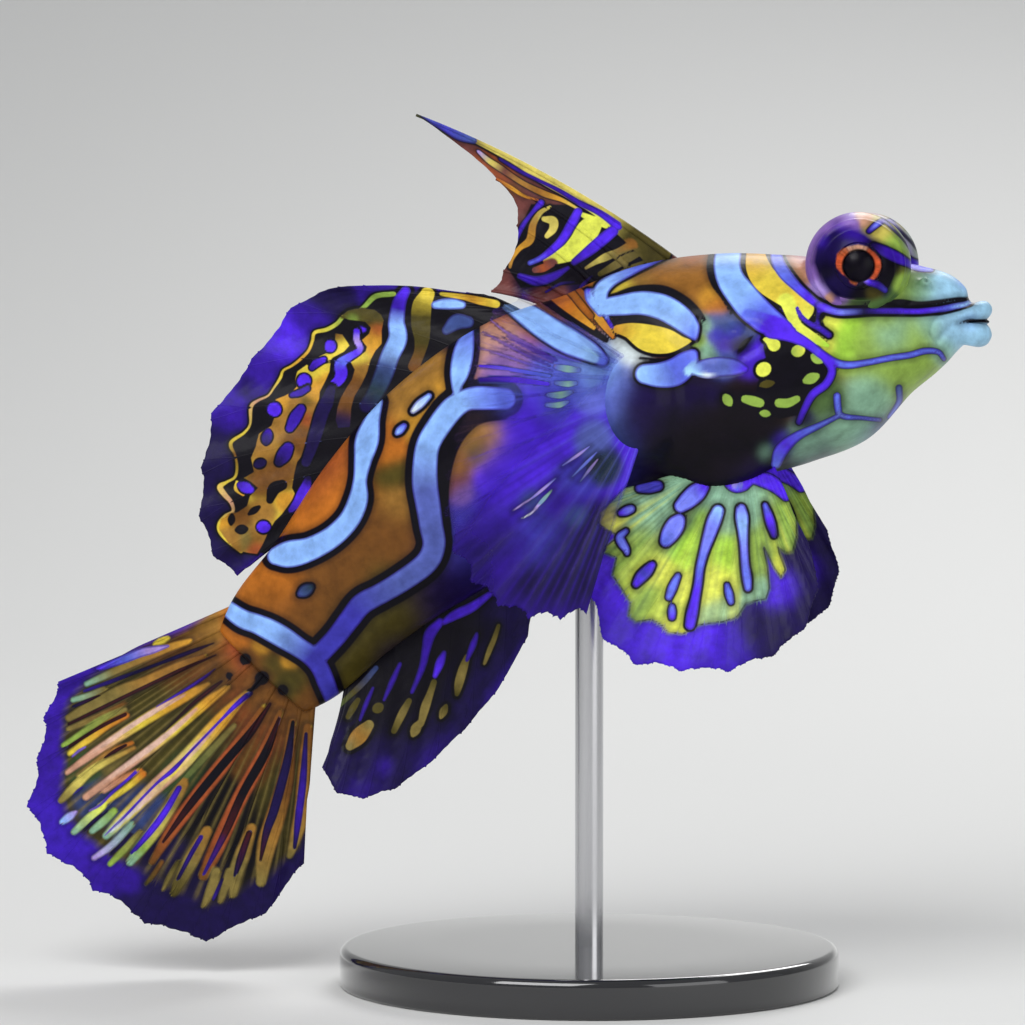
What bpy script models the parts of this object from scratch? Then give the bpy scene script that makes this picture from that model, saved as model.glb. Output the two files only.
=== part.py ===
"""Mandarinfish (Synchiropus splendidus, a male), life size, held on a plain display stand.

Blender 4.5 script, metres, +Z up. The snout points along +X and the right side faces -Y.
The origin is the middle of the stand's underside. Sizes below are in millimetres."""

import math

import bmesh
import bpy
import numpy as np
from mathutils import Matrix, Vector

MM = 0.001
GAP = 0.3  # left between two nodes that touch
RIGHT, LEFT = -1, 1  # which way along Y a side lies

# ---------------------------------------------------------------- the body
# Stations from the tail root to the lips: the middle of the body (x, z), the height of the back
# above it, the depth of the belly below it, and half the width.
STATIONS = (
    (-21.3, 19.8, 3.9, 3.9, 0.8),
    (-20.1, 21.1, 4.5, 4.5, 1.6),
    (-16.6, 24.8, 5.1, 5.1, 2.8),
    (-12.2, 29.3, 6.3, 6.3, 4.1),
    (-8.0, 32.7, 7.2, 7.2, 5.3),
    (-3.3, 35.3, 7.8, 7.6, 6.4),
    (1.0, 36.9, 7.7, 7.6, 7.0),
    (5.1, 38.6, 7.7, 7.5, 7.3),
    (9.0, 39.6, 7.3, 7.2, 7.4),
    (13.1, 40.3, 6.5, 6.8, 7.1),
    (16.6, 40.8, 5.7, 5.9, 6.4),
    (19.8, 41.5, 5.0, 3.5, 5.0),
    (21.8, 42.0, 4.2, 2.5, 3.8),
    (23.2, 42.3, 3.3, 1.6, 2.7),
    (24.2, 42.4, 2.2, 1.0, 1.7),
)
AROUND = 24  # points round a section
RINGS = 38  # sections from tail to lips
ROUND_POWER = 0.92  # 1 is an ellipse, less is squarer
THROAT_POWER = 0.78  # the head and breast are flatter underneath
SQUARE_FROM, SQUARE_TO = 14.0, 36.0  # how far from the tail root the belly turns flat
LOW_SLUNG = 0.10  # the flanks are this share wider below the middle than above it

BLOCK = 90.0  # the cutting blocks are larger than the fish
FACET_TURN = 0.11  # radians
SHARP_FROM = 35.0  # degrees between two faces, past which their edge shows

# The cuts that part the flesh: a point on each (x, z) and the way the plane faces (x, z).
NECK_CUT = ((9.3, 40.1), (0.925, 0.38))
STALK_CUT = ((-12.6, 28.9), (0.735, 0.678))

EYE_MIDDLE = (17.4, 3.9, 46.1)
EYE_RADIUS = 3.3
CORNEA_RADIUS, CORNEA_OUT = 1.75, 1.75
GAZE = (0.08, 0.99, -0.02)
ORBIT_MIDDLE = (17.1, 2.4, 44.2)  # the raised ring of flesh that each eye sits in
ORBIT_RADIUS, ORBIT_FACETS = 3.7, 22

UPPER_LIP = {"front": 25.0, "height": 43.25, "radius": 0.56}
LOWER_LIP = {"front": 24.75, "height": 41.7, "radius": 0.78}
MOUTH_CORNER = (22.4, 1.95, 42.15)
LIP_POINTS = 13

NOSTRIL = (21.4, 2.55, 44.8)
NOSTRIL_WAY = (0.35, 0.75, 0.56)
NOSTRIL_RADIUS, NOSTRIL_HEIGHT = 0.42, 0.7
NOSTRIL_HOLE, NOSTRIL_DEPTH = 0.17, 1.0

GILL_PORE = (9.9, 7.0, 42.0)
GILL_PORE_SIZE, GILL_PORE_PITCH = (0.95, 0.9, 0.42), 20.0
GILL_FLAP = (11.2, 6.45, 42.0)
GILL_FLAP_SIZE = (1.7, 0.75, 1.1)

# The fleshy bases that the paired fins grow from.
SHOULDER = (4.0, 6.7, 37.7)
SHOULDER_SIZE = (2.9, 2.3, 4.1)
BREAST = (9.4, 4.2, 33.4)
BREAST_SIZE = (3.6, 1.9, 1.5)
BREAST_PITCH = 17.0
BASE_FACETS = 16

# ---------------------------------------------------------------- the fins
SINK = 1.2  # how deep a ray's root is set before the flesh is cut from it
WEB = 0.52  # thickness of the membrane
EDGE = 0.3  # thickness at the free edge
RIDGE = 0.17  # half the width of a ray's ridge
NOTCH = 0.965  # how far out the membrane reaches between two rays

# Each tip is (x, y, z); y is how far it leans towards the right side (negative) or left.
SPINE_ROOTS = (35.2, 33.0, 31.1, 29.4, 27.4)  # of the first dorsal fin, along the back
SPINE_TIPS = (
    (-11.1, 0.0, 55.6),
    (-5.9, -0.3, 51.5),
    (-4.6, -0.4, 48.6),
    (-5.5, -0.2, 45.7),
    (-6.3, -0.1, 44.4),
)
BACK_ROOTS = (25.6, 23.9, 21.7, 19.4, 17.0, 14.6, 12.2, 9.7, 7.4)
BACK_TIPS = (
    (-6.8, 0.0, 44.2),
    (-15.7, 0.3, 44.7),
    (-19.5, 0.8, 43.3),
    (-22.1, 0.6, 40.0),
    (-24.6, 0.1, 36.5),
    (-25.2, -0.4, 33.0),
    (-25.3, -0.6, 29.9),
    (-24.4, -0.4, 27.3),
    (-22.9, 0.0, 26.0),
)
VENT_ROOTS = (18.8, 16.6, 14.4, 12.1, 9.9, 7.6, 5.4, 3.4)
VENT_TIPS = (
    (-4.0, 0.3, 22.3),
    (-5.9, 0.2, 18.9),
    (-8.0, -0.2, 16.3),
    (-10.2, -0.8, 14.1),
    (-12.4, -1.4, 12.5),
    (-14.4, -1.9, 11.9),
    (-16.0, -2.2, 12.3),
    (-17.0, -2.1, 13.9),
)
TAIL_ROOTS_FROM, TAIL_ROOTS_TO = (-23.9, 23.5), (-18.5, 17.7)
TAIL_TIPS = (
    (-34.8, 0.2, 19.0),
    (-35.9, 0.7, 16.6),
    (-36.4, 0.8, 13.9),
    (-36.9, 0.4, 10.8),
    (-35.5, -0.1, 7.8),
    (-32.4, -0.3, 5.5),
    (-29.1, 0.0, 3.3),
    (-25.1, 0.5, 2.2),
    (-21.2, 0.8, 4.1),
    (-18.7, 0.8, 7.4),
)
# Of the paired fins y is the distance from the middle of the fish.
PECTORAL_ARC = (2.0, 3.3)  # how far the ray roots lie behind and above the shoulder's middle
PECTORAL_OUT = 8.1
PECTORAL_FAN = (58.0, -86.0)
PECTORAL_TIPS = (
    (-2.9, 9.6, 44.5),
    (-4.7, 10.3, 43.4),
    (-5.8, 10.9, 41.7),
    (-6.3, 11.3, 39.7),
    (-6.6, 11.6, 37.6),
    (-7.0, 11.9, 35.4),
    (-7.4, 12.2, 33.1),
    (-7.5, 12.4, 30.8),
    (-7.0, 12.4, 28.5),
    (-5.8, 12.3, 26.5),
    (-4.2, 12.1, 25.0),
    (-2.3, 11.7, 24.3),
    (-0.4, 11.3, 24.2),
    (1.2, 10.9, 24.6),
)
PELVIC_ROOTS_FROM, PELVIC_ROOTS_TO = (12.1, 4.5, 33.4), (6.8, 4.9, 33.0)
PELVIC_TIPS = (
    (14.6, 7.4, 28.9),
    (15.3, 8.6, 26.2),
    (14.6, 9.5, 23.7),
    (12.7, 10.0, 22.0),
    (9.9, 10.2, 21.0),
    (7.0, 10.2, 21.0),
    (4.1, 9.9, 21.4),
    (2.0, 9.3, 22.9),
    (1.2, 8.9, 25.6),
    (1.1, 8.7, 28.4),
    (1.5, 8.5, 30.7),
    (3.0, 8.0, 32.2),
)

# ---------------------------------------------------------------- the stand
BASE_RADIUS, BASE_THICK, BASE_BEVEL = 16.0, 2.5, 0.5
BASE_SIDES = 48
ROD_RADIUS = 0.9
ROD_SIDES = 16

COLOURS = {
    "orange": (0.60, 0.20, 0.02),
    "green": (0.30, 0.42, 0.10),
    "violet": (0.08, 0.02, 0.55),
    "yellow": (0.60, 0.42, 0.04),
    "eye": (0.04, 0.01, 0.10),
    "black": (0.02, 0.02, 0.02),
    "steel": (0.60, 0.60, 0.62),
}


def clear_scene():
    for thing in list(bpy.data.objects):
        bpy.data.objects.remove(thing)


def new_collection(name):
    made = bpy.data.collections.new(name)
    bpy.context.scene.collection.children.link(made)
    return made


def remove(collection):
    for thing in list(collection.objects):
        bpy.data.objects.remove(thing)
    bpy.data.collections.remove(collection)


def material(name, roughness=0.4, metallic=0.0):
    found = bpy.data.materials.get(name)
    if found:
        return found
    made = bpy.data.materials.new(name)
    made.use_nodes = True
    shader = made.node_tree.nodes["Principled BSDF"]
    shader.inputs["Base Color"].default_value = (*COLOURS[name], 1.0)
    shader.inputs["Roughness"].default_value = roughness
    shader.inputs["Metallic"].default_value = metallic
    return made


def object_of(name, bm, collection):
    """An object of a bmesh whose points are in millimetres."""
    bmesh.ops.triangulate(bm, faces=bm.faces)
    bmesh.ops.recalc_face_normals(bm, faces=bm.faces)
    bmesh.ops.scale(bm, vec=(MM, MM, MM), verts=bm.verts)
    mesh = bpy.data.meshes.new(name)
    bm.to_mesh(mesh)
    bm.free()
    made = bpy.data.objects.new(name, mesh)
    collection.objects.link(made)
    return made


def settle(thing):
    """Makes a mesh of what the modifiers show, or of a curve, and drops the modifiers."""
    bpy.context.view_layer.update()
    graph = bpy.context.evaluated_depsgraph_get()
    shown = thing.evaluated_get(graph)
    mesh = bpy.data.meshes.new_from_object(shown)
    if thing.type == "MESH":
        thing.modifiers.clear()
        thing.data = mesh
        return thing
    bm = bmesh.new()
    bm.from_mesh(mesh)
    bmesh.ops.remove_doubles(bm, verts=bm.verts, dist=0.00001)
    bm.to_mesh(mesh)
    bm.free()
    made = bpy.data.objects.new(thing.name + "_mesh", mesh)
    made.matrix_world = thing.matrix_world
    thing.users_collection[0].objects.link(made)
    bpy.data.objects.remove(thing)
    return made


def keep_largest(thing):
    """Keeps the largest closed surface of a mesh."""
    bm = bmesh.new()
    bm.from_mesh(thing.data)
    left, islands = set(bm.verts), []
    while left:
        island, edge = set(), {left.pop()}
        while edge:
            island |= edge
            near = {e.other_vert(v) for v in edge for e in v.link_edges}
            edge = near - island
        left -= island
        islands.append(island)
    if len(islands) > 1:
        islands.sort(key=len)
        scraps = [v for island in islands[:-1] for v in island]
        bmesh.ops.delete(bm, geom=scraps, context="VERTS")
        bm.to_mesh(thing.data)
    bm.free()


def is_closed(mesh):
    bm = bmesh.new()
    bm.from_mesh(mesh)
    closed = len(bm.faces) > 0 and all(len(edge.link_faces) == 2 for edge in bm.edges)
    bm.free()
    return closed


def combine(thing, others, operation):
    """Joins a collection of closed meshes to a thing, or cuts them from it. The MANIFOLD solver
    is for where EXACT leaves no closed surface."""
    whole = thing.data
    for solver in ("EXACT", "MANIFOLD"):
        thing.data = whole
        step = thing.modifiers.new(operation.lower(), "BOOLEAN")
        step.operation = operation
        step.solver = solver
        step.operand_type = "COLLECTION"
        step.collection = others
        settle(thing)
        keep_largest(thing)
        if is_closed(thing.data):
            return


def smooth_line(knots, values, at):
    """A smooth curve through the values, whose slope at a knot comes from its neighbours."""
    slopes = np.gradient(values, knots, axis=0)
    i = int(np.clip(np.searchsorted(knots, at) - 1, 0, len(knots) - 2))
    span = knots[i + 1] - knots[i]
    u = (at - knots[i]) / span
    start = (1 + 2 * u) * (1 - u) ** 2 * values[i] + u * (1 - u) ** 2 * span * slopes[i]
    end = u * u * (3 - 2 * u) * values[i + 1] + u * u * (u - 1) * span * slopes[i + 1]
    return start + end


ROWS = np.array(STATIONS)
ALONG = np.concatenate([[0.0], np.cumsum(np.hypot(*np.diff(ROWS[:, :2], axis=0).T))])
LENGTH = ALONG[-1]


def body_point(along, turn, lift=0.0):
    """A point of the skin. Along is from the tail root; turn is 0 on the back, 90 on the right
    flank and 180 under the belly; lift is how far the point stands off the skin."""
    x, z, back, belly, half_width = smooth_line(ALONG, ROWS, along)
    ahead = smooth_line(ALONG, ROWS, min(along + 0.2, LENGTH))
    behind = smooth_line(ALONG, ROWS, max(along - 0.2, 0.0))
    way = Vector((ahead[0] - behind[0], 0, ahead[1] - behind[1])).normalized()
    up = Vector((-way.z, 0, way.x))
    flat = np.clip((along - SQUARE_FROM) / (SQUARE_TO - SQUARE_FROM), 0, 1)
    c, s = math.cos(math.radians(turn)), math.sin(math.radians(turn))
    power = ROUND_POWER if c > 0 else ROUND_POWER + (THROAT_POWER - ROUND_POWER) * flat
    height = (back if c > 0 else belly) + lift
    rise = math.copysign(height * abs(c) ** power, c)
    reach = math.copysign((half_width + lift) * abs(s) ** power, s)
    reach *= 1 - LOW_SLUNG * c * float(flat)
    return Vector((x, 0, z)) + up * rise + Vector((0, RIGHT, 0)) * reach


def body_loft(name, collection, lift=0.0):
    """The body from the tail root to the lips as one closed mesh."""
    bm = bmesh.new()
    loops = []
    for along in np.linspace(0, LENGTH, RINGS):
        turns = (360 * (i + 0.5) / AROUND for i in range(AROUND))
        loops.append([bm.verts.new(body_point(along, turn, lift)) for turn in turns])
    for one, two in zip(loops, loops[1:]):
        for i in range(AROUND):
            j = (i + 1) % AROUND
            bm.faces.new((one[i], one[j], two[j], two[i]))
    bm.faces.new(loops[0])
    bm.faces.new(loops[-1])
    return object_of(name, bm, collection)


def ball(name, collection, middle, size, pitch=0.0, sides=16, pole=(0, 0, 1)):
    """An ellipsoid with its half sizes along X, Y and Z, pitched nose up. The pole is where its
    facets meet. They are turned a little the same way on both sides, so that those of a pair
    never meet edge to edge."""
    bm = bmesh.new()
    bmesh.ops.create_uvsphere(bm, u_segments=sides, v_segments=sides * 3 // 5, radius=1)
    stand_up = Vector((0, 0, 1)).rotation_difference(Vector(pole)).to_matrix().to_4x4()
    turn = stand_up @ Matrix.Rotation(FACET_TURN, 4, "Z")
    bmesh.ops.transform(bm, matrix=turn, verts=bm.verts)
    bmesh.ops.scale(bm, vec=size, verts=bm.verts)
    turn = Matrix.Rotation(math.radians(-pitch), 4, "Y")
    bmesh.ops.transform(bm, matrix=Matrix.Translation(middle) @ turn, verts=bm.verts)
    return object_of(name, bm, collection)


def post(name, collection, foot, way, radii, height, sides=10):
    """A short tapered tube or pin that stands on foot and points along way."""
    bm = bmesh.new()
    bmesh.ops.create_cone(
        bm, cap_ends=True, segments=sides, radius1=radii[0], radius2=radii[1], depth=height
    )
    turn = Vector((0, 0, 1)).rotation_difference(Vector(way)).to_matrix().to_4x4()
    middle = Vector(foot) + Vector(way).normalized() * height / 2
    bmesh.ops.transform(bm, matrix=Matrix.Translation(middle) @ turn, verts=bm.verts)
    return object_of(name, bm, collection)


def sided(point, side):
    """A point given for the left side, on either side."""
    return Vector((point[0], side * point[1], point[2]))


def lip(name, collection, front, height, radius):
    """One lip: a round bow from one corner of the mouth to the other."""
    corner_x, corner_y, corner_z = MOUTH_CORNER
    data = bpy.data.curves.new(name, "CURVE")
    data.dimensions = "3D"
    data.bevel_depth = radius * MM
    data.bevel_resolution = 2
    data.use_fill_caps = True
    line = data.splines.new("POLY")
    line.points.add(LIP_POINTS - 1)
    for i, point in enumerate(line.points):
        turn = math.radians(-100 + 200 * i / (LIP_POINTS - 1))
        forward = max(math.cos(turn), 0.0)
        x = corner_x + (front - corner_x) * math.cos(turn)
        z = corner_z + (height - corner_z) * (0.45 + 0.55 * forward)
        point.co = (x * MM, corner_y * math.sin(turn) * MM, z * MM, 1)
        point.radius = 0.6 + 0.4 * forward
    made = bpy.data.objects.new(name, data)
    collection.objects.link(made)
    return settle(made)


def fin_bases(collection, lift=0.0):
    """The fleshy lobes at the shoulders and under the breast that the paired fins grow from.
    Lift is how much larger than life they are made all round."""
    for side, word in ((RIGHT, "right"), (LEFT, "left")):
        size = [half + lift for half in SHOULDER_SIZE]
        ball("shoulder_" + word, collection, sided(SHOULDER, side), size, 0, BASE_FACETS)
        size = [half + lift for half in BREAST_SIZE]
        ball("breast_" + word, collection, sided(BREAST, side), size, BREAST_PITCH, BASE_FACETS)


def rim_way(side):
    """The way that the rim of an eye's orbit faces."""
    return sided(EYE_MIDDLE, side) - sided(ORBIT_MIDDLE, side)


def flesh_forms(collection):
    """What is fused to the body: fin bases, orbits, gill flaps, nostrils and lips."""
    fin_bases(collection)
    orbit = (ORBIT_RADIUS,) * 3
    for side, word in ((RIGHT, "right"), (LEFT, "left")):
        middle = sided(ORBIT_MIDDLE, side)
        ball("orbit_" + word, collection, middle, orbit, 0, ORBIT_FACETS, rim_way(side))
        ball("flap_" + word, collection, sided(GILL_FLAP, side), GILL_FLAP_SIZE, 0, 12)
        way = sided(NOSTRIL_WAY, side)
        radii = (NOSTRIL_RADIUS * 1.2, NOSTRIL_RADIUS)
        foot = sided(NOSTRIL, side) - way * NOSTRIL_HEIGHT * 0.6
        post("nostril_" + word, collection, foot, way, radii, NOSTRIL_HEIGHT * 1.2)
    lip("upper_lip", collection, **UPPER_LIP)
    lip("lower_lip", collection, **LOWER_LIP)


def flesh_hollows(collection):
    """What is cut from the body: eye sockets, gill pores and the holes of the nostrils."""
    socket = (EYE_RADIUS + GAP,) * 3
    for side, word in ((RIGHT, "right"), (LEFT, "left")):
        middle = sided(EYE_MIDDLE, side)
        ball("socket_" + word, collection, middle, socket, 0, ORBIT_FACETS, rim_way(side))
        pore = sided(GILL_PORE, side)
        ball("pore_" + word, collection, pore, GILL_PORE_SIZE, GILL_PORE_PITCH, 10)
        way = sided(NOSTRIL_WAY, side)
        hole = (NOSTRIL_HOLE, NOSTRIL_HOLE)
        post("hole_" + word, collection, sided(NOSTRIL, side), way, hole, NOSTRIL_DEPTH, 8)


def block(name, collection, point, way):
    """A large block on the side of a plane that way points to, half a gap past the plane."""
    bm = bmesh.new()
    bmesh.ops.create_cube(bm, size=BLOCK)
    turn = Vector((0, 0, 1)).rotation_difference(way).to_matrix().to_4x4()
    middle = point + way * (BLOCK - GAP) / 2
    bmesh.ops.transform(bm, matrix=Matrix.Translation(middle) @ turn, verts=bm.verts)
    return object_of(name, bm, collection)


def length_of(name, whole, collection, cuts):
    """What of the flesh lies behind each cut. A cut is (point, facing), both as (x, z)."""
    made = bpy.data.objects.new(name, whole.data.copy())
    collection.objects.link(made)
    blocks = new_collection(name + "_blocks")
    for i, ((x, z), (way_x, way_z)) in enumerate(cuts):
        way = Vector((way_x, 0, way_z)).normalized()
        block(f"{name}_block_{i}", blocks, Vector((x, 0, z)), way)
    combine(made, blocks, "DIFFERENCE")
    remove(blocks)
    return made


def ray(root, tip, bow, t):
    """A point of a fin ray, t from 0 at its root to 1 at its tip; before 0 it runs on, sunk."""
    middle = (root + tip) / 2 + bow
    if t < 0:
        return root - (middle - root).normalized() * SINK
    return root * (1 - t) ** 2 + middle * 2 * t * (1 - t) + tip * t * t


def fin(name, collection, roots, tips, bow, crest, rows, flesh, colour):
    """A fin: a thin membrane with a ridge along each ray, both raised in one closed sheet.
    Crest is a ray's thickness at its root and near its tip. A short ray bows less."""
    steps = [-1.0] + [i / (rows - 1) for i in range(rows)]
    pairs = [(Vector(root), Vector(tip)) for root, tip in zip(roots, tips)]
    longest = max((tip - root).length for root, tip in pairs)
    rays = [(root, tip, bow * (tip - root).length / longest) for root, tip in pairs]
    columns = []  # each is a list of (point, thickness), from root to tip
    for i, here in enumerate(rays):
        line = [ray(*here, t) for t in steps]
        swell = [crest[0] + (crest[1] - crest[0]) * max(t, 0) for t in steps]
        swell[-1] = EDGE
        thin = [WEB] * rows + [EDGE]
        beside = {}
        for other in (i - 1, i + 1):
            if 0 <= other < len(rays):
                near = [ray(*rays[other], t) for t in steps]
                beside[other] = [
                    p + (q - p).normalized() * min(RIDGE, 0.3 * (q - p).length)
                    for p, q in zip(line, near)
                ]
        if i - 1 in beside:
            columns.append(list(zip(beside[i - 1], thin)))
        columns.append(list(zip(line, swell)))
        if i + 1 in beside:
            columns.append(list(zip(beside[i + 1], thin)))
            reach = [min(t, t * NOTCH) for t in steps]
            web = [(ray(*here, t) + ray(*rays[i + 1], t)) / 2 for t in reach]
            columns.append(list(zip(web, thin)))
    thickest = max(crest)
    bm = bmesh.new()
    grid = [[bm.verts.new(point) for point, _ in column] for column in columns]
    for one, two in zip(grid, grid[1:]):
        for a, b, c, d in zip(one, two, two[1:], one[1:]):
            bm.faces.new((a, b, c))
            bm.faces.new((a, c, d))
    made = object_of(name, bm, collection)
    weights = [thick / thickest for column in columns for _, thick in column]
    group = made.vertex_groups.new(name="thickness")
    for index, weight in enumerate(weights):
        group.add([index], weight, "REPLACE")
    shell = made.modifiers.new("thickness", "SOLIDIFY")
    shell.thickness = thickest * MM
    shell.offset = 0.0
    shell.vertex_group = group.name
    settle(made)
    combine(made, flesh, "DIFFERENCE")
    made.data.materials.clear()
    made.data.materials.append(material(colour))
    return made


def spaced(start, end, count):
    """Points spread evenly from start to end."""
    return [Vector(start).lerp(Vector(end), i / (count - 1)) for i in range(count)]


def middle_fins(parts, flesh):
    """The fins on the middle line: two on the back, one behind the vent, and the tail."""
    spines = [body_point(along, 0, -0.2) for along in SPINE_ROOTS]
    bow = Vector((0.8, -0.3, 1.1))
    fin("first_dorsal_fin", parts, spines, SPINE_TIPS, bow, (1.0, 0.7), 10, flesh, "yellow")
    back = [body_point(along, 0, -0.2) for along in BACK_ROOTS]
    bow = Vector((0.2, 0.5, 0.7))
    fin("second_dorsal_fin", parts, back, BACK_TIPS, bow, (0.9, 0.7), 7, flesh, "violet")
    vent = [body_point(along, 180, -0.2) for along in VENT_ROOTS]
    bow = Vector((0.7, 0.3, 0.0))
    fin("anal_fin", parts, vent, VENT_TIPS, bow, (0.9, 0.7), 7, flesh, "violet")
    start, end = ((x, 0, z) for x, z in (TAIL_ROOTS_FROM, TAIL_ROOTS_TO))
    roots = spaced(start, end, len(TAIL_TIPS))
    bow = Vector((0, -0.6, 0))
    fin("tail_fin", parts, roots, TAIL_TIPS, bow, (1.05, 0.75), 8, flesh, "orange")


def paired_fins(parts, flesh):
    """The fans at the shoulders and the fans under the breast."""
    x, _, z = SHOULDER
    back, rise = PECTORAL_ARC
    first, last = PECTORAL_FAN
    for side, word in ((RIGHT, "right"), (LEFT, "left")):
        turns = np.radians(np.linspace(first, last, len(PECTORAL_TIPS)))
        roots = [(x - back * math.cos(t), PECTORAL_OUT, z + rise * math.sin(t)) for t in turns]
        roots = [sided(root, side) for root in roots]
        tips = [sided(tip, side) for tip in PECTORAL_TIPS]
        bow = Vector((0, side * 0.9, 0))
        name = "pectoral_fin_" + word
        fin(name, parts, roots, tips, bow, (0.85, 0.65), 7, flesh, "violet")
        roots = spaced(PELVIC_ROOTS_FROM, PELVIC_ROOTS_TO, len(PELVIC_TIPS))
        roots = [sided(root, side) for root in roots]
        tips = [sided(tip, side) for tip in PELVIC_TIPS]
        bow = Vector((0, side * 1.1, 0))
        name = "pelvic_fin_" + word
        fin(name, parts, roots, tips, bow, (0.95, 0.7), 8, flesh, "green")


def eyes(parts):
    """Each eye: a ball with the clear dome of the cornea raised on it."""
    for side, word in ((RIGHT, "right"), (LEFT, "left")):
        middle = sided(EYE_MIDDLE, side)
        eye = ball("eye_" + word, parts, middle, (EYE_RADIUS,) * 3, 0, 20)
        domes = new_collection("dome_" + word)
        gaze = sided(GAZE, side).normalized()
        ball("cornea_" + word, domes, middle + gaze * CORNEA_OUT, (CORNEA_RADIUS,) * 3)
        combine(eye, domes, "UNION")
        remove(domes)
        eye.data.materials.clear()
        eye.data.materials.append(material("eye", 0.1))


def stand(parts, flesh):
    """A round base with a turned edge, and a rod from it up to the belly."""
    bm = bmesh.new()
    bmesh.ops.create_cone(
        bm, cap_ends=True, segments=BASE_SIDES, radius1=BASE_RADIUS, radius2=BASE_RADIUS, depth=BASE_THICK
    )
    bmesh.ops.translate(bm, vec=(0, 0, BASE_THICK / 2), verts=bm.verts)
    base = object_of("stand_base", bm, parts)
    edge = base.modifiers.new("edge", "BEVEL")
    edge.width = BASE_BEVEL * MM
    edge.segments = 2
    base.data.materials.append(material("black", 0.25))
    foot = Vector((0, 0, BASE_THICK + GAP))
    height = STATIONS[5][1] - foot.z
    radii = (ROD_RADIUS, ROD_RADIUS)
    rod = post("stand_rod", parts, foot, (0, 0, 1), radii, height, ROD_SIDES)
    combine(rod, flesh, "DIFFERENCE")
    rod.data.materials.clear()
    rod.data.materials.append(material("steel", 0.2, 1.0))


def make_flesh():
    """The whole body as one closed mesh, in a collection of its own."""
    whole = new_collection("flesh")
    forms, hollows = new_collection("flesh_forms"), new_collection("flesh_hollows")
    flesh = body_loft("flesh", whole)
    flesh_forms(forms)
    combine(flesh, forms, "UNION")
    flesh_hollows(hollows)
    combine(flesh, hollows, "DIFFERENCE")
    remove(forms)
    remove(hollows)
    return flesh, whole


def part_flesh(flesh, parts):
    """Head, trunk and tail stalk, parted by two thin cuts."""
    (neck, forward), (waist, onward) = NECK_CUT, STALK_CUT
    backward = (-forward[0], -forward[1])
    tailward = (-onward[0], -onward[1])
    nodes = (
        ("head", [(neck, backward)], "green"),
        ("trunk", [(neck, forward), (waist, tailward)], "orange"),
        ("tail_stalk", [(waist, onward)], "orange"),
    )
    for name, cuts, colour in nodes:
        node = length_of(name, flesh, parts, cuts)
        node.data.materials.clear()
        node.data.materials.append(material(colour))


def make_clearance():
    """The body with its fin bases, larger by the gap: the fins and the rod are cut back to it."""
    clearance, bases = new_collection("flesh_with_gap"), new_collection("bases_with_gap")
    grown = body_loft("body_with_gap", clearance, GAP)
    fin_bases(bases, GAP)
    combine(grown, bases, "UNION")
    remove(bases)
    grown.hide_render = True
    grown.display_type = "WIRE"
    return clearance


def build():
    clear_scene()
    parts = new_collection("mandarinfish")
    flesh, whole = make_flesh()
    part_flesh(flesh, parts)
    remove(whole)
    clearance = make_clearance()
    eyes(parts)
    middle_fins(parts, clearance)
    paired_fins(parts, clearance)
    stand(parts, clearance)
    for thing in parts.objects:
        thing.data.shade_smooth()
        thing.data.set_sharp_from_angle(angle=math.radians(SHARP_FROM))


build()
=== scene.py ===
import math

import bpy
import numpy as np
from mathutils import Matrix, Vector


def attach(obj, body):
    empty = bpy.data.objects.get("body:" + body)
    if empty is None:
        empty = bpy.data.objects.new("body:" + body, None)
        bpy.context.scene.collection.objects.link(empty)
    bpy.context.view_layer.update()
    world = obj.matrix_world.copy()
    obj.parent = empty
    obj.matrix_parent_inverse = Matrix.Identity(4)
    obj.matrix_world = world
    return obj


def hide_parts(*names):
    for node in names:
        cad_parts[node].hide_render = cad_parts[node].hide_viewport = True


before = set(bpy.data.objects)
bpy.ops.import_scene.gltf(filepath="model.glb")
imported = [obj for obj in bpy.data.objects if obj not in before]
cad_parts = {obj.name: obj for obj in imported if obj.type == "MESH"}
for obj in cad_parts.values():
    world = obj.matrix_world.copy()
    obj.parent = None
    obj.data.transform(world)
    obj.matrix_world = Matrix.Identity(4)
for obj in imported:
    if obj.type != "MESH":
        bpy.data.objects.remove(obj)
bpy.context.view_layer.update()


# ---- The skin ----
# One tough, scaleless hide over the head, trunk and tail stalk, with thick lips and a raised tube
# at each nostril. In the model it is one resin casting, painted by hand with an airbrushed ground,
# black outlines, and blue and yellow marks, then sealed under a clear gloss that looks wet.

MM = 0.001

# The middle line of the body: x, z, height of the back, depth of the belly, half width, in mm.
STATIONS = np.array((
    (-21.3, 19.8, 3.9, 3.9, 0.8),
    (-20.1, 21.1, 4.5, 4.5, 1.6),
    (-16.6, 24.8, 5.1, 5.1, 2.8),
    (-12.2, 29.3, 6.3, 6.3, 4.1),
    (-8.0, 32.7, 7.2, 7.2, 5.3),
    (-3.3, 35.3, 7.8, 7.6, 6.4),
    (1.0, 36.9, 7.7, 7.6, 7.0),
    (5.1, 38.6, 7.7, 7.5, 7.3),
    (9.0, 39.6, 7.3, 7.2, 7.4),
    (13.1, 40.3, 6.5, 6.8, 7.1),
    (16.6, 40.8, 5.7, 5.9, 6.4),
    (19.8, 41.5, 5.0, 3.5, 5.0),
    (21.8, 42.0, 4.2, 2.5, 3.8),
    (23.2, 42.3, 3.3, 1.6, 2.7),
    (24.2, 42.4, 2.2, 1.0, 1.7),
))
ALONG = np.concatenate([[0.0], np.cumsum(np.hypot(*np.diff(STATIONS[:, :2], axis=0).T))])
ROUND_POWER, THROAT_POWER = 0.92, 0.78
SQUARE_FROM, SQUARE_TO = 14.0, 36.0
LOW_SLUNG = 0.10
SKIN_RINGS, SKIN_SIDES = 260, 160
VOXEL = 0.18
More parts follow.
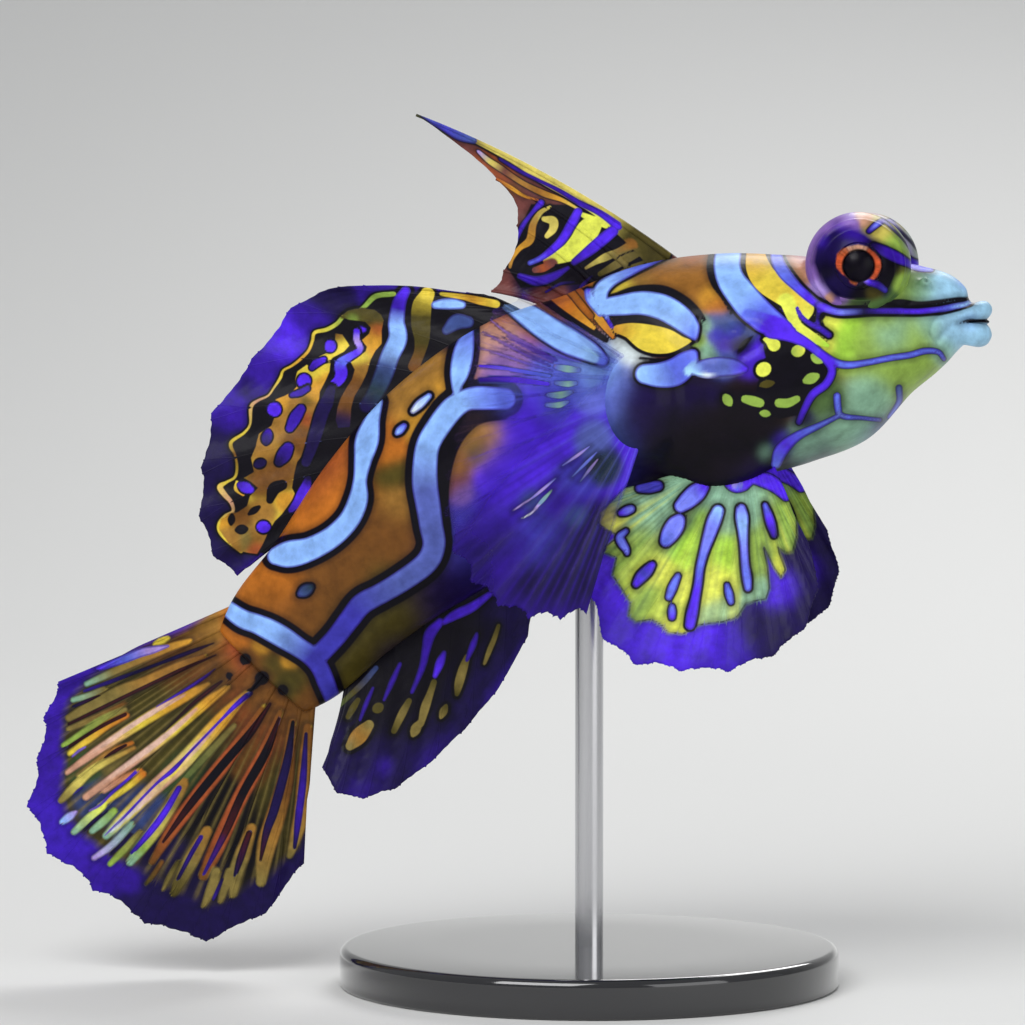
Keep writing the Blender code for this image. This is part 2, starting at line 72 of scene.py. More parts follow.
# Passes of easing over all of the skin and round its soft forms, and the share moved in each.
SKIN_PASSES, SOFT_PASSES, EASE = 6, 60, 0.5
# The lips are eased less: from this x, over this length in mm, and by this share less.
LIPS_FROM, LIPS_FADE, LIPS_KEPT = 21.0, 2.0, 0.6
# The easing of a soft form reaches this many times its size, and fades over this much of it.
SOFT_REACH, SOFT_FADE = 1.9, 0.6
# The gill flaps and the fleshy bases of the paired fins, which swell out of the skin: middle, size,
# and how far the nose is tipped up, in degrees.
SOFT_FORMS = (
    ((11.2, 6.45, 42.0), (1.7, 0.75, 1.1), 0),
    ((4.0, 6.7, 37.7), (2.9, 2.3, 4.1), 0),
    ((9.4, 4.2, 33.4), (3.6, 1.9, 1.5), 17),
)
RIGHT, LEFT = -1, 1


def station_at(along):
    """The row of STATIONS at each distance along the body, on a smooth curve through them."""
    slopes = np.gradient(STATIONS, ALONG, axis=0)
    before = np.clip(np.searchsorted(ALONG, along) - 1, 0, len(ALONG) - 2)
    step = (ALONG[before + 1] - ALONG[before])[..., None]
    part = (along - ALONG[before])[..., None] / step
    return (
        (2 * part**3 - 3 * part**2 + 1) * STATIONS[before]
        + (part**3 - 2 * part**2 + part) * step * slopes[before]
        + (-2 * part**3 + 3 * part**2) * STATIONS[before + 1]
        + (part**3 - part**2) * step * slopes[before + 1]
    )


def body_point(along, turn, lift=0.0):
    """Points on the body in mm. Turn 0 is the back, 90 the right flank and 180 the belly."""
    along, turn = np.broadcast_arrays(np.asarray(along, float), np.radians(turn))
    here = station_at(along)
    shift = 0.2
    way = (station_at(along + shift) - station_at(along - shift))[..., :2]
    way /= np.linalg.norm(way, axis=-1, keepdims=True)
    up, side = np.cos(turn), np.sin(turn)
    flat = np.clip((along - SQUARE_FROM) / (SQUARE_TO - SQUARE_FROM), 0, 1)
    power = np.where(up > 0, ROUND_POWER, ROUND_POWER + (THROAT_POWER - ROUND_POWER) * flat)
    height = np.where(up > 0, here[..., 2], here[..., 3]) + lift
    rise = np.sign(up) * height * np.abs(up) ** power
    reach = np.sign(side) * (here[..., 4] + lift) * np.abs(side) ** power * (1 - LOW_SLUNG * up * flat)
    return np.stack([here[..., 0] - way[..., 1] * rise, -reach, here[..., 1] + way[..., 0] * rise], -1)


def new_object(name, points, faces, edges=()):
    """An object in the scene from points, a list of faces, and loose edges."""
    mesh = bpy.data.meshes.new(name)
    mesh.from_pydata(points.tolist(), list(edges), faces)
    thing = bpy.data.objects.new(name, mesh)
    bpy.context.scene.collection.objects.link(thing)
    return thing


def grid_faces(rows, columns, closed):
    """The four corners of each face of a grid numbered row by row, closed round its columns or not."""
    first = np.arange(rows - 1)[:, None] * columns
    here = np.arange(columns if closed else columns - 1)[None]
    after = (here + 1) % columns
    corners = (first + here, first + after, first + columns + after, first + columns + here)
    return np.stack(corners, -1).reshape(-1, 4)


def settle(thing):
    """Applies the object's modifiers, so that it is a plain mesh."""
    drawn = thing.evaluated_get(bpy.context.evaluated_depsgraph_get())
    mesh = bpy.data.meshes.new_from_object(drawn)
    thing.modifiers.clear()
    old = thing.data
    thing.data = mesh
    bpy.data.meshes.remove(old)


def tube(name, rings):
    """A closed object over rings of points, with a point at the middle of each end."""
    count, sides = rings.shape[:2]
    points = np.concatenate([rings.reshape(-1, 3), rings[0].mean(0)[None], rings[-1].mean(0)[None]])
    faces = grid_faces(count, sides, True).tolist()
    last = (count - 1) * sides
    for here in range(sides):
        after = (here + 1) % sides
        faces.append((count * sides, after, here))
        faces.append((count * sides + 1, last + here, last + after))
    return new_object(name, points, faces)


def ball(middle, size, pitch=0, sides=72):
    """An egg-shaped object with half axes of that size, its nose tipped up by pitch degrees."""
    # A small turn keeps these points off the rows of points of the body.
    small_turn = 0.11
    turns = np.arange(sides) * math.tau / sides + small_turn
    drops = (np.arange(sides // 2) + 0.5) * math.pi / (sides // 2)
    rings = np.stack(
        [
            np.outer(np.sin(drops), np.cos(turns)) * size[0],
            np.outer(np.sin(drops), np.sin(turns)) * size[1],
            np.outer(np.cos(drops), np.ones(sides)) * size[2],
        ],
        -1,
    )
    tip = np.array(Matrix.Rotation(math.radians(-pitch), 3, "Y"))
    return tube("form", rings[::-1] @ tip.T + np.array(middle))


def sided(point, side):
    """The point with its distance from the middle put on the right or the left."""
    return (point[0], side * point[1], point[2])


def bent_tube(middles, sizes, sides=40):
    """A closed object round a path, with its own half width at each point."""
    middles = np.asarray(middles, float)
    ways = np.gradient(middles, axis=0)
    ways /= np.linalg.norm(ways, axis=1, keepdims=True)
    across = np.cross(ways, (0.0, 0.0, 1.0))
    across /= np.linalg.norm(across, axis=1, keepdims=True)
    up = np.cross(across, ways)
    turns = np.arange(sides) * math.tau / sides
    rings = middles[:, None] + np.asarray(sizes)[:, None, None] * (
        np.cos(turns)[None, :, None] * across[:, None] + np.sin(turns)[None, :, None] * up[:, None]
    )
    return tube("form", rings)


def join(thing, others, operation):
    """Adds the other closed objects to the thing, or cuts them out of it, and removes them."""
    group = bpy.data.collections.new("others")
    bpy.context.scene.collection.children.link(group)
    for other in others:
        bpy.context.scene.collection.objects.unlink(other)
        group.objects.link(other)
    cut = thing.modifiers.new("join", "BOOLEAN")
    cut.operand_type = "COLLECTION"
    cut.collection = group
    cut.operation = operation
    cut.solver = "MANIFOLD"
    settle(thing)
    for other in others:
        mesh = other.data
        bpy.data.objects.remove(other)
        bpy.data.meshes.remove(mesh)
    bpy.data.collections.remove(group)


ORBIT_MIDDLE, ORBIT_RADIUS = (17.1, 2.4, 44.2), 3.7
UPPER_LIP = (25.0, 43.25, 0.60)
LOWER_LIP = (24.75, 41.7, 0.82)
MOUTH_CORNER = (22.4, 1.95, 42.15)
MOUTH_SLIT, MOUTH_BACK = ((25.0, 0.0, 42.5), (1.5, 2.1, 0.13)), ((24.2, 0.0, 42.5), (1.2, 1.2, 0.3))
NOSTRIL, NOSTRIL_WAY = np.array((21.4, 2.55, 44.8)), np.array((0.35, 0.75, 0.56))
# Half width, and where it starts and stops along the nostril's way, in mm.
NOSTRIL_TUBE, NOSTRIL_HOLE = (0.40, -0.9, 0.62), (0.17, -0.3, 1.2)
GILL_PORE, GILL_PORE_SIZE, GILL_PORE_TIP = (9.9, 7.0, 42.0), (0.85, 0.85, 0.36), 20


def lip(front, height, radius):
    """A thick bow of flesh from one corner of the mouth round the front to the other.

    Towards the corners it thins and nears their height.
    """
    turns = np.radians(np.linspace(-100, 100, 61))
    corner_height, corner_radius = 0.45, 0.6
    forward = np.clip(np.cos(turns), 0, 1)
    corner_x, corner_y, corner_z = MOUTH_CORNER
    middles = np.stack(
        [
            corner_x + (front - corner_x) * np.cos(turns),
            corner_y * np.sin(turns),
            corner_z + (height - corner_z) * (corner_height + 0.55 * forward),
        ],
        -1,
    )
    return bent_tube(middles, radius * (corner_radius + 0.4 * forward))


def nostril(side, radius, start, stop):
    """A post along the nostril's way, for the raised tube or for the hole down it."""
    way = NOSTRIL_WAY / np.linalg.norm(NOSTRIL_WAY)
    middles = np.array([NOSTRIL + way * at for at in np.linspace(start, stop, 7)])
    middles[:, 1] *= side
    return bent_tube(middles, np.full(7, radius))


rings = body_point(
    np.linspace(0, ALONG[-1], SKIN_RINGS)[:, None],
    (np.arange(SKIN_SIDES)[None] + 0.5) * 360 / SKIN_SIDES,
)
skin = tube("skin", rings)
forms = [lip(*UPPER_LIP), lip(*LOWER_LIP)]
hollows = []
for side in (RIGHT, LEFT):
    forms.append(ball(sided(ORBIT_MIDDLE, side), (ORBIT_RADIUS,) * 3, 0, 96))
    for middle, size, pitch in SOFT_FORMS:
        forms.append(ball(sided(middle, side), size, pitch))
    forms.append(nostril(side, *NOSTRIL_TUBE))
    hollows.append(ball(sided(GILL_PORE, side), GILL_PORE_SIZE, GILL_PORE_TIP))
join(skin, forms, "UNION")
join(skin, hollows, "DIFFERENCE")
remesh = skin.modifiers.new("even faces", "REMESH")
remesh.mode = "VOXEL"
remesh.voxel_size = VOXEL
settle(skin)


def points_of(mesh):
    """The mesh's points as rows."""
    flat = np.empty(len(mesh.vertices) * 3, "f")
    mesh.vertices.foreach_get("co", flat)
    return flat.reshape(-1, 3).astype(float)


def eased(points, pairs, passes, share):
    """The points, each moved towards the middle of its neighbours by its share, some passes over."""
    count = np.bincount(pairs.ravel(), minlength=len(points))
    one, two = pairs.T
    for _ in range(passes):
        for axis in range(3):
            line = points[:, axis]
            total = np.bincount(one, line[two], len(line)) + np.bincount(two, line[one], len(line))
            line += (total / count - line) * share
    return points


skin_points = points_of(skin.data)
pairs = np.empty(len(skin.data.edges) * 2, "i")
skin.data.edges.foreach_get("vertices", pairs)
pairs = pairs.reshape(-1, 2)
crisp = np.clip((skin_points[:, 0] - LIPS_FROM) / LIPS_FADE, 0, 1) * LIPS_KEPT
skin_points = eased(skin_points, pairs, SKIN_PASSES, EASE * (1 - crisp))
loose = np.zeros(len(skin_points))
for middle, size, _ in SOFT_FORMS:
    for side in (RIGHT, LEFT):
        reach = np.linalg.norm((skin_points - np.array(sided(middle, side))) / np.array(size), axis=1)
        loose = np.maximum(loose, np.clip((SOFT_REACH - reach) / SOFT_FADE, 0, 1))
skin_points = eased(skin_points, pairs, SOFT_PASSES, EASE * loose)
skin.data.vertices.foreach_set("co", skin_points.astype("f").ravel())
join(skin, [nostril(side, *NOSTRIL_HOLE) for side in (RIGHT, LEFT)], "DIFFERENCE")
join(skin, [ball(*MOUTH_SLIT)], "DIFFERENCE")
join(skin, [ball(*MOUTH_BACK)], "UNION")

# The markings are laid out on a side plan of 1025 steps, with one step to 0.064 mm, drawn from
# PLAN_EYE so that a mark sits where a viewer at that point sees it. Both sides get the same marks.
PLAN_TURN, PLAN_RISE = math.radians(8), math.radians(3)
PLAN_MIDDLE, PLAN_REACH = np.array((-4.96, 0.0, 30.24)), 328.0
PLAN_SIZE, PLAN_LENS, PLAN_FILM = 1025, 180.0, 36.0
PLAN_BACK = np.array((
    math.sin(PLAN_TURN) * math.cos(PLAN_RISE),
    -math.cos(PLAN_TURN) * math.cos(PLAN_RISE),
    math.sin(PLAN_RISE),
))
PLAN_EYE = PLAN_MIDDLE + PLAN_BACK * PLAN_REACH
PLAN_RIGHT = np.array((math.cos(PLAN_TURN), math.sin(PLAN_TURN), 0.0))
PLAN_UP = np.cross(PLAN_RIGHT, -PLAN_BACK)


def side_plan(points):
    """Where each point, in mm, falls on the side plan, with the left side folded onto the right."""
    near = np.array(points, float)
    near[:, 1] = -np.abs(near[:, 1])
    near -= PLAN_EYE
    depth = near @ -PLAN_BACK
    scale = PLAN_LENS / PLAN_FILM * PLAN_SIZE / depth
    return np.stack([PLAN_SIZE / 2 + near @ PLAN_RIGHT * scale, PLAN_SIZE / 2 - near @ PLAN_UP * scale], 1)


def paint(red, green, blue):
    """A paint mixed by its 8-bit screen values, as linear light."""
    mix = np.array((red, green, blue)) / 255
    return np.where(mix <= 0.04045, mix / 12.92, ((mix + 0.055) / 1.055) ** 2.4)


ORANGE, AMBER, YELLOW = paint(184, 106, 32), paint(208, 150, 46), paint(222, 198, 66)
RUST, BROWN, OLIVE, PEACH = paint(156, 76, 38), paint(112, 70, 26), paint(74, 66, 22), paint(196, 146, 120)
LEAF, LIME, MOSS, SEA = paint(140, 172, 72), paint(160, 210, 62), paint(72, 100, 52), paint(134, 178, 150)
AQUA, SKY, BLUE, SLATE = paint(158, 206, 236), paint(136, 178, 242), paint(90, 106, 220), paint(58, 76, 134)
INDIGO, VIOLET, PURPLE, NIGHT = paint(58, 54, 168), paint(78, 36, 220), paint(50, 18, 150), paint(22, 10, 66)
INK, LILAC, PEARL, PINK = paint(6, 3, 15), paint(172, 146, 220), paint(204, 216, 218), paint(216, 178, 160)
GOLD, KHAKI, MAROON, DUSK = paint(156, 112, 46), paint(128, 112, 58), paint(62, 16, 22), paint(88, 102, 184)
TEAL, HEATHER, PERI, TAN = paint(30, 50, 62), paint(134, 98, 178), paint(112, 122, 232), paint(140, 92, 34)
STRAW, MAUVE, DEEP = paint(206, 190, 92), paint(112, 62, 58), paint(56, 24, 170)
LEMON = paint(224, 230, 86)


def with_ends(rows):
    """The rows, with one more before and after them, as far on as the last two are apart."""
    return np.concatenate([[2 * rows[0] - rows[1]], rows, [2 * rows[-1] - rows[-2]]])


def smooth_between(one, two, three, four, part):
    """The row at a part of the way from the second to the third, on a smooth curve through four."""
    return (
        two + (three - one) * part / 2
        + (one - 2.5 * two + 2 * three - four / 2) * part**2
        + (1.5 * (two - three) + (four - one) / 2) * part**3
    )


def curve_through(controls, pieces=7):
    """Rows on a smooth curve through the rows of controls, of which there are three or more."""
    ends = with_ends(controls)
    rows = []
    for four_rows in zip(ends, ends[1:], ends[2:], ends[3:]):
        rows += [smooth_between(*four_rows, part) for part in np.arange(pieces) / pieces]
    return np.array(rows + [controls[-1]])


# The most that a distance is followed, in steps, and an oval's widths against those of its stroke.
FAR = 40.0
OVAL_END, OVAL_WAIST = 0.6, 0.58
# How much the base colour of a ground weighs against the middle of a daub.
BASE_WEIGHT = 0.006


def near(places, line, reach):
    """The numbers of the places that lie within reach of a line's box."""
    low, high = line.min(0) - reach, line.max(0) + reach
    return np.flatnonzero(np.all((places > low) & (places < high), axis=1))


def stroke_distance(places, line, widths):
    """Steps from each place to the edge of a stroke, less than 0 inside, and how far along it lies.

    A stroke of only two points is an oval.
    """
    line = np.asarray(line, float)
    if len(line) == 2:
        line = np.array([line[0], line.mean(0), line[1]])
        widths = (widths[0] * OVAL_END, (widths[0] + widths[1]) * OVAL_WAIST, widths[1] * OVAL_END)
    widths = np.interp(np.linspace(0, 1, len(line)), np.linspace(0, 1, len(widths)), widths)
    rows = curve_through(np.column_stack([line, widths]))
    distance = np.full(len(places), FAR)
    part = np.zeros(len(places))
    close = near(places, rows[:, :2], rows[:, 2].max() / 2 + FAR / 2)
    spots = places[close]
    best, where = np.full(len(close), FAR), np.zeros(len(close))
    for index, (start, stop) in enumerate(zip(rows, rows[1:])):
        run = stop[:2] - start[:2]
        share = np.clip((spots - start[:2]) @ run / max(run @ run, 1e-9), 0, 1)
        gap = np.hypot(*(spots - start[:2] - share[:, None] * run).T)
        gap -= (start[2] + (stop[2] - start[2]) * share) / 2
        nearer = gap < best
        best[nearer] = gap[nearer]
        where[nearer] = ((index + share) / (len(rows) - 1))[nearer]
    distance[close], part[close] = best, where
    return distance, part


def lay_ground(places, base, daubs):
    """The airbrushed ground at each place: soft daubs of paint over a base colour."""
    total = np.full(len(places), BASE_WEIGHT)
    colour = total[:, None] * base
    for shade, middle, reach in daubs:
        weight = np.exp(-((places - np.array(middle)) ** 2).sum(1) / reach**2)
        total += weight
        colour += weight[:, None] * shade
    return colour / total[:, None]


def patch_distance(places, outline):
    """Steps from each place to the edge of a closed outline, less than 0 inside."""
    outline = np.asarray(outline, float)
    distance = np.full(len(places), FAR)
    close = near(places, outline, FAR)
    spots = places[close]
    inside = np.zeros(len(close), bool)
    best = np.full(len(close), FAR)
    for start, stop in zip(outline, np.roll(outline, -1, axis=0)):
        run = stop - start
        share = np.clip((spots - start) @ run / (run @ run), 0, 1)
        best = np.minimum(best, np.hypot(*(spots - start - share[:, None] * run).T))
        crosses = (start[1] > spots[:, 1]) != (stop[1] > spots[:, 1])
        where = start[0] + (spots[:, 1] - start[1]) * run[0] / (run[1] if run[1] else 1e-9)
        inside ^= crosses & (spots[:, 0] < where)
    distance[close] = np.where(inside, -best, best)
    return distance


def lay_marks(places, strokes, spill=4.0):
    """Lays strokes over each other and returns each layer's edge distance and paint at every place.

    Each stroke's paint is stored as far as the spill past its edge, over the strokes before it.
    """
    layers = {
        "ink": [np.full(len(places), FAR), None],
        "spot": [np.full(len(places), FAR), np.tile(YELLOW, (len(places), 1))],
        "band": [np.full(len(places), FAR), np.tile(SKY, (len(places), 1))],
    }
    for layer, shades, rim, widths, line in strokes:
        if widths:
            distance, part = stroke_distance(places, line, widths)
        else:
            distance = patch_distance(places, line)
        layers["ink"][0] = np.minimum(layers["ink"][0], distance - rim)
        if layer == "ink":
            continue
        layers[layer][0] = np.minimum(layers[layer][0], distance)
        if widths:
            shades = np.array(shades)
            stops = np.linspace(0, 1, len(shades))
            colour = np.stack([np.interp(part, stops, shades[:, band]) for band in range(3)], 1)
        else:
            colour = lay_ground(places, shades[0][0], shades)
        cover = np.clip(2 - distance * 2 / spill, 0, 1)[:, None]
        layers[layer][1] = layers[layer][1] * (1 - cover) + colour * cover
    return layers


def blend_paint(under, over, share):
    """One colour for each place, mixed into another by a share from 0 to 1."""
    share = np.clip(share, 0, 1)[:, None]
    return under * (1 - share) + over * share


def set_colour(mesh, name, colours):
    """Stores a colour for each point of the mesh."""
    store = mesh.attributes.new(name, "FLOAT_COLOR", "POINT")
    store.data.foreach_set("color", np.column_stack([colours, np.ones(len(colours))]).astype("f").ravel())


def set_value(mesh, name, values):
    """Stores a number for each point of the mesh."""
    store = mesh.attributes.new(name, "FLOAT", "POINT")
    store.data.foreach_set("value", np.asarray(values, "f").ravel())


def store_marks(mesh, ground, layers):
    """Stores the ground colour and the layers of marks on the mesh, for its material to read."""
    set_colour(mesh, "ground", ground)
    set_value(mesh, "ink", layers["ink"][0])
    for name in ("spot", "band"):
        set_value(mesh, name, layers[name][0])
        set_colour(mesh, name + "_paint", layers[name][1])


# Each stroke: its layer, its paints from start to end, the black rim round it, widths, and line.
# A patch has daubs for its paints, no widths, and a closed outline.
FLANK_STROKES = (
    ("band", (SKY,), 6, (12, 16, 24, 18, 14, 20, 21, 22, 24, 27, 18), (
        (377, 402), (372, 420), (367, 440), (363, 460), (360, 480), (358, 500), (349, 520),
        (332, 537), (310, 549), (290, 554), (276, 556))),
    ("band", (BLUE, SKY, SKY, DUSK, DUSK, DUSK, INDIGO, INDIGO), 7,
        (22, 24, 22, 24, 24, 24, 25, 26, 25, 24, 23, 23, 22, 21, 22, 21, 20, 20), (
        (505, 399), (480, 398), (466, 400), (452, 409), (438, 427), (428, 445), (425, 465),
        (425, 485), (428, 505), (431, 525), (434, 545), (426, 563), (402, 581), (380, 594),
        (362, 604), (349, 620), (336, 637), (322, 652))),
    ("band", (SKY, SKY, INDIGO, INDIGO), 6, (15, 19, 20, 22, 22, 20, 20, 18, 18, 16), (
        (222, 604), (241, 618), (257, 624), (270, 630), (284, 638), (298, 647), (311, 656),
        (320, 668), (326, 682), (333, 700))),
    ("band", (BLUE, SKY, SKY), 6, (8, 20, 20, 12, 6), (
        (470, 326), (464, 350), (460, 370), (457, 384), (456, 394))),
    ("band", (PEARL, SKY), 3, (6, 9, 6), ((413, 411), (420, 404), (429, 396))),
    ("band", (SKY, BLUE), 3, (5, 8, 6), ((397, 433), (400, 430), (404, 426))),
    ("spot", (LEAF,), 1, (6, 6), ((368, 434), (371, 430))),
    ("band", (SLATE, TEAL), 2, (10, 11), ((300, 594), (311, 587))),
    ("ink", (), 0, (8, 10, 12, 13, 12, 12, 10, 4), (
        (504, 416), (480, 419), (464, 430), (452, 448), (446, 470), (443, 492), (445, 512), (450, 530))),
)
SHOULDER_STROKES = (
    ("band", (SKY, SKY, SKY, SKY, BLUE), 2, (16, 24, 26, 26, 20, 12), (
        (508, 302), (530, 316), (550, 330), (570, 342), (590, 352), (602, 360))),
    ("ink", (), 0, (5, 12, 12, 9, 6), ((528, 293), (548, 305), (566, 316), (588, 328), (606, 340))),
    ("spot", (RUST, ORANGE, AMBER), 1, (12, 14, 9, 4), ((548, 289), (562, 300), (577, 314), (594, 328))),
    ("spot", (RUST, BROWN, AMBER), 1, (5, 6, 5, 3), ((574, 284), (584, 296), (596, 312), (610, 330))),
    ("spot", (AMBER, ORANGE), 1, (4, 6, 4), ((596, 318), (604, 326), (613, 337))),
    ("band", (BLUE, SKY), 2, (8, 10, 6), ((588, 292), (591, 300), (600, 314))),
    ("band", (VIOLET,), 1, (4, 4, 4), ((593, 290), (601, 308), (612, 327))),
    ("band", (BLUE, BLUE, SKY, SKY), 2.5, (7, 8, 10, 12, 15, 14), (
        (670, 253), (650, 262), (630, 271), (612, 280), (602, 289), (600, 300))),
    ("band", (SKY, SKY, SKY, BLUE), 3, (18, 21, 24, 26, 25, 20, 8), (
        (606, 307), (622, 305), (642, 303), (662, 307), (678, 316), (689, 326), (694, 336))),
    ("ink", (), 0, (2, 4, 6, 9, 9, 7, 3), (
        (608, 298), (622, 292), (640, 288), (664, 290), (684, 300), (697, 311), (705, 320))),
    ("spot", (AMBER, YELLOW, YELLOW, YELLOW), 3.5, (8, 16, 27, 25, 12, 3), (
        (617, 329), (631, 331), (648, 338), (665, 341), (680, 342), (690, 341))),
    ("band", (SKY, BLUE, BLUE), 2.5, (20, 25, 28, 23, 10), (
        (645, 374), (660, 375), (675, 372), (686, 363), (693, 354))),
    ("ink", (), 0, (7, 7, 6, 4, 2), ((713, 250), (710, 268), (714, 284), (723, 298), (731, 314))),
    ("ink", (), 0, (2, 6, 5, 2), ((738, 353), (742, 347), (747, 341), (752, 337))),
    ("band", (AQUA, DUSK, DUSK, VIOLET), 0, (4, 15, 20, 17, 7), (
        (689, 371), (700, 369), (714, 367), (732, 367), (745, 369))),
    # This thin aqua and pearl line along the lower edge of the gill flap's fold is a painted highlight on
    # that ridge.
    ("band", (AQUA, PEARL, DUSK), 0, (1, 3, 2), ((697, 376), (706, 377), (718, 378))),
    ("ink", (), 0, (4, 6, 8, 5), ((612, 321), (640, 318), (664, 323), (684, 337))),
    ("ink", (), 0, (3, 4, 3), ((640, 358), (664, 360), (686, 350))),
    ("band", (SKY, SKY, SKY, BLUE, BLUE), 3, (26, 27, 28, 30, 31, 28, 20), (
        (729, 248), (727, 265), (731, 280), (741, 294), (752, 307), (766, 319), (784, 330))),
    ("band", (BLUE, VIOLET, VIOLET), 0, (8, 17, 16, 9), ((748, 316), (762, 324), (778, 328), (792, 331))),
)
FACE_STROKES = (
    ("spot", (AMBER, YELLOW, YELLOW, LEMON), 2.5, (17, 24, 26, 26, 23, 16, 7), (
        (755, 250), (758, 267), (766, 280), (780, 290), (795, 300), (806, 308), (806, 317))),
    ("ink", (), 0, (2, 3, 3, 3, 2), ((780, 312), (787, 327), (800, 340), (815, 349), (829, 360))),
    ("spot", (LEMON, LEMON, LEMON, LIME), -0.5, (12, 11, 11, 11, 9, 4), (
        (786, 302), (791, 314), (797, 326), (807, 334), (817, 340), (828, 346))),
    ("ink", (), 0, (6, 8, 9, 6), ((800, 314), (808, 321), (816, 320), (821, 313))),
    ("ink", (), 0, (3, 4, 3), ((802, 321), (810, 328), (817, 332))),
    ("ink", (), 0, (3, 4, 3), ((826, 314), (821, 320), (824, 327))),
    ("ink", (), 0, (1, 3, 4), ((960, 323), (972, 321), (990, 321))),
    ("band", (BLUE, BLUE, VIOLET, VIOLET), 3, (11, 13, 13, 10, 9, 8, 8), (
        (775, 248), (778, 262), (785, 274), (797, 287), (808, 297), (817, 304), (828, 309))),
    ("band", (PURPLE, NIGHT), 1, (6, 4, 4), ((820, 306), (818, 315), (818, 324))),
    ("band", (VIOLET, DEEP), 2.2, (4, 5, 5, 6, 6), (
        (797, 308), (801, 316), (809, 323), (819, 328), (829, 335))),
    ("ink", (), 0, (3, 3, 2, 3, 6, 8, 6, 4, 3, 1), (
        (812, 294), (826, 301), (845, 303), (868, 303), (885, 304), (900, 303), (920, 304), (940, 301),
        (960, 298), (974, 298))),
    ("band", (VIOLET, PERI, NIGHT, VIOLET, VIOLET, BLUE, AQUA), 3, (8, 7, 7, 6, 6, 6, 6, 6, 4), (
        (824, 308), (838, 312), (852, 312), (872, 311), (900, 311), (920, 311), (940, 309), (955, 306),
        (970, 302))),
    ("band", (VIOLET, VIOLET, BLUE, BLUE, BLUE, BLUE), 0.6, (18, 14, 10, 9, 8, 7, 6, 6, 6, 6, 5, 4), (
        (772, 330), (790, 335), (808, 344), (822, 355), (836, 363), (850, 365), (870, 362), (890, 358),
        (910, 355), (925, 351), (938, 352), (944, 359))),
    ("ink", (), 1, (), (
        (764, 346), (772, 338), (784, 337), (800, 343), (816, 353), (828, 362), (830, 372), (820, 386),
        (808, 400), (798, 414), (780, 418), (762, 408), (756, 394), (760, 380), (768, 364))),
    ("band", (VIOLET, VIOLET, PURPLE), 1, (8, 8, 8, 8, 7, 6), (
        (824, 357), (832, 370), (826, 384), (813, 394), (805, 408), (799, 422))),
    ("spot", (LEMON,), 3, (3, 9, 13), ((764, 339), (770, 341), (774, 345))),
    ("spot", (LEAF, LEMON), 3, (10, 11), ((794, 352), (802, 350))),
    ("spot", (LEAF,), 3, (9, 9), ((813, 356), (821, 361))),
    ("spot", (LEMON,), 3, (12, 13), ((760, 372), (767, 367))),
    ("spot", (LEAF,), 3, (9, 10), ((805, 381), (817, 376))),
    ("spot", (OLIVE,), 2, (7, 7), ((761, 385), (773, 383))),
    ("spot", (LEAF,), 3, (8, 9), ((725, 396), (730, 404))),
    ("spot", (LEAF,), 3, (8, 10, 9), ((745, 399), (753, 401), (760, 403))),
    ("spot", (LEAF,), 3, (9, 9, 7), ((779, 403), (788, 403), (797, 399))),
    ("spot", (LEAF,), 3, (6, 7), ((761, 413), (769, 414))),
    ("band", (BLUE, BLUE, DUSK), 0.4, (7, 7, 6, 4, 4), (
        (837, 396), (838, 408), (842, 416), (862, 418), (880, 420))),
    ("band", (DUSK, BLUE, VIOLET, BLUE), 0.4, (4, 6, 10, 14, 10), (
        (842, 415), (820, 426), (797, 437), (782, 450), (776, 464))),
    ("band", (SLATE, BLUE), 0, (7, 6, 4), ((899, 388), (899, 402), (889, 417))),
    ("band", (PURPLE, PURPLE, VIOLET, BLUE), 1, (14, 13, 10, 10, 9, 6), (
        (868, 246), (885, 250), (900, 257), (910, 263), (920, 267), (931, 269))),
    ("band", (VIOLET,), 1, (7, 8, 7), ((869, 230), (875, 225), (884, 221))),
)
TAIL_BASE_SPOTS = (
    ("ink", (), 0, (10, 10), ((245, 657), (246, 662))),
    ("ink", (), 0, (13, 11), ((259, 680), (265, 676))),
    ("ink", (), 0, (9, 9), ((281, 688), (285, 692))),
    ("ink", (), 0, (6, 6), ((228, 674), (231, 678))),
)
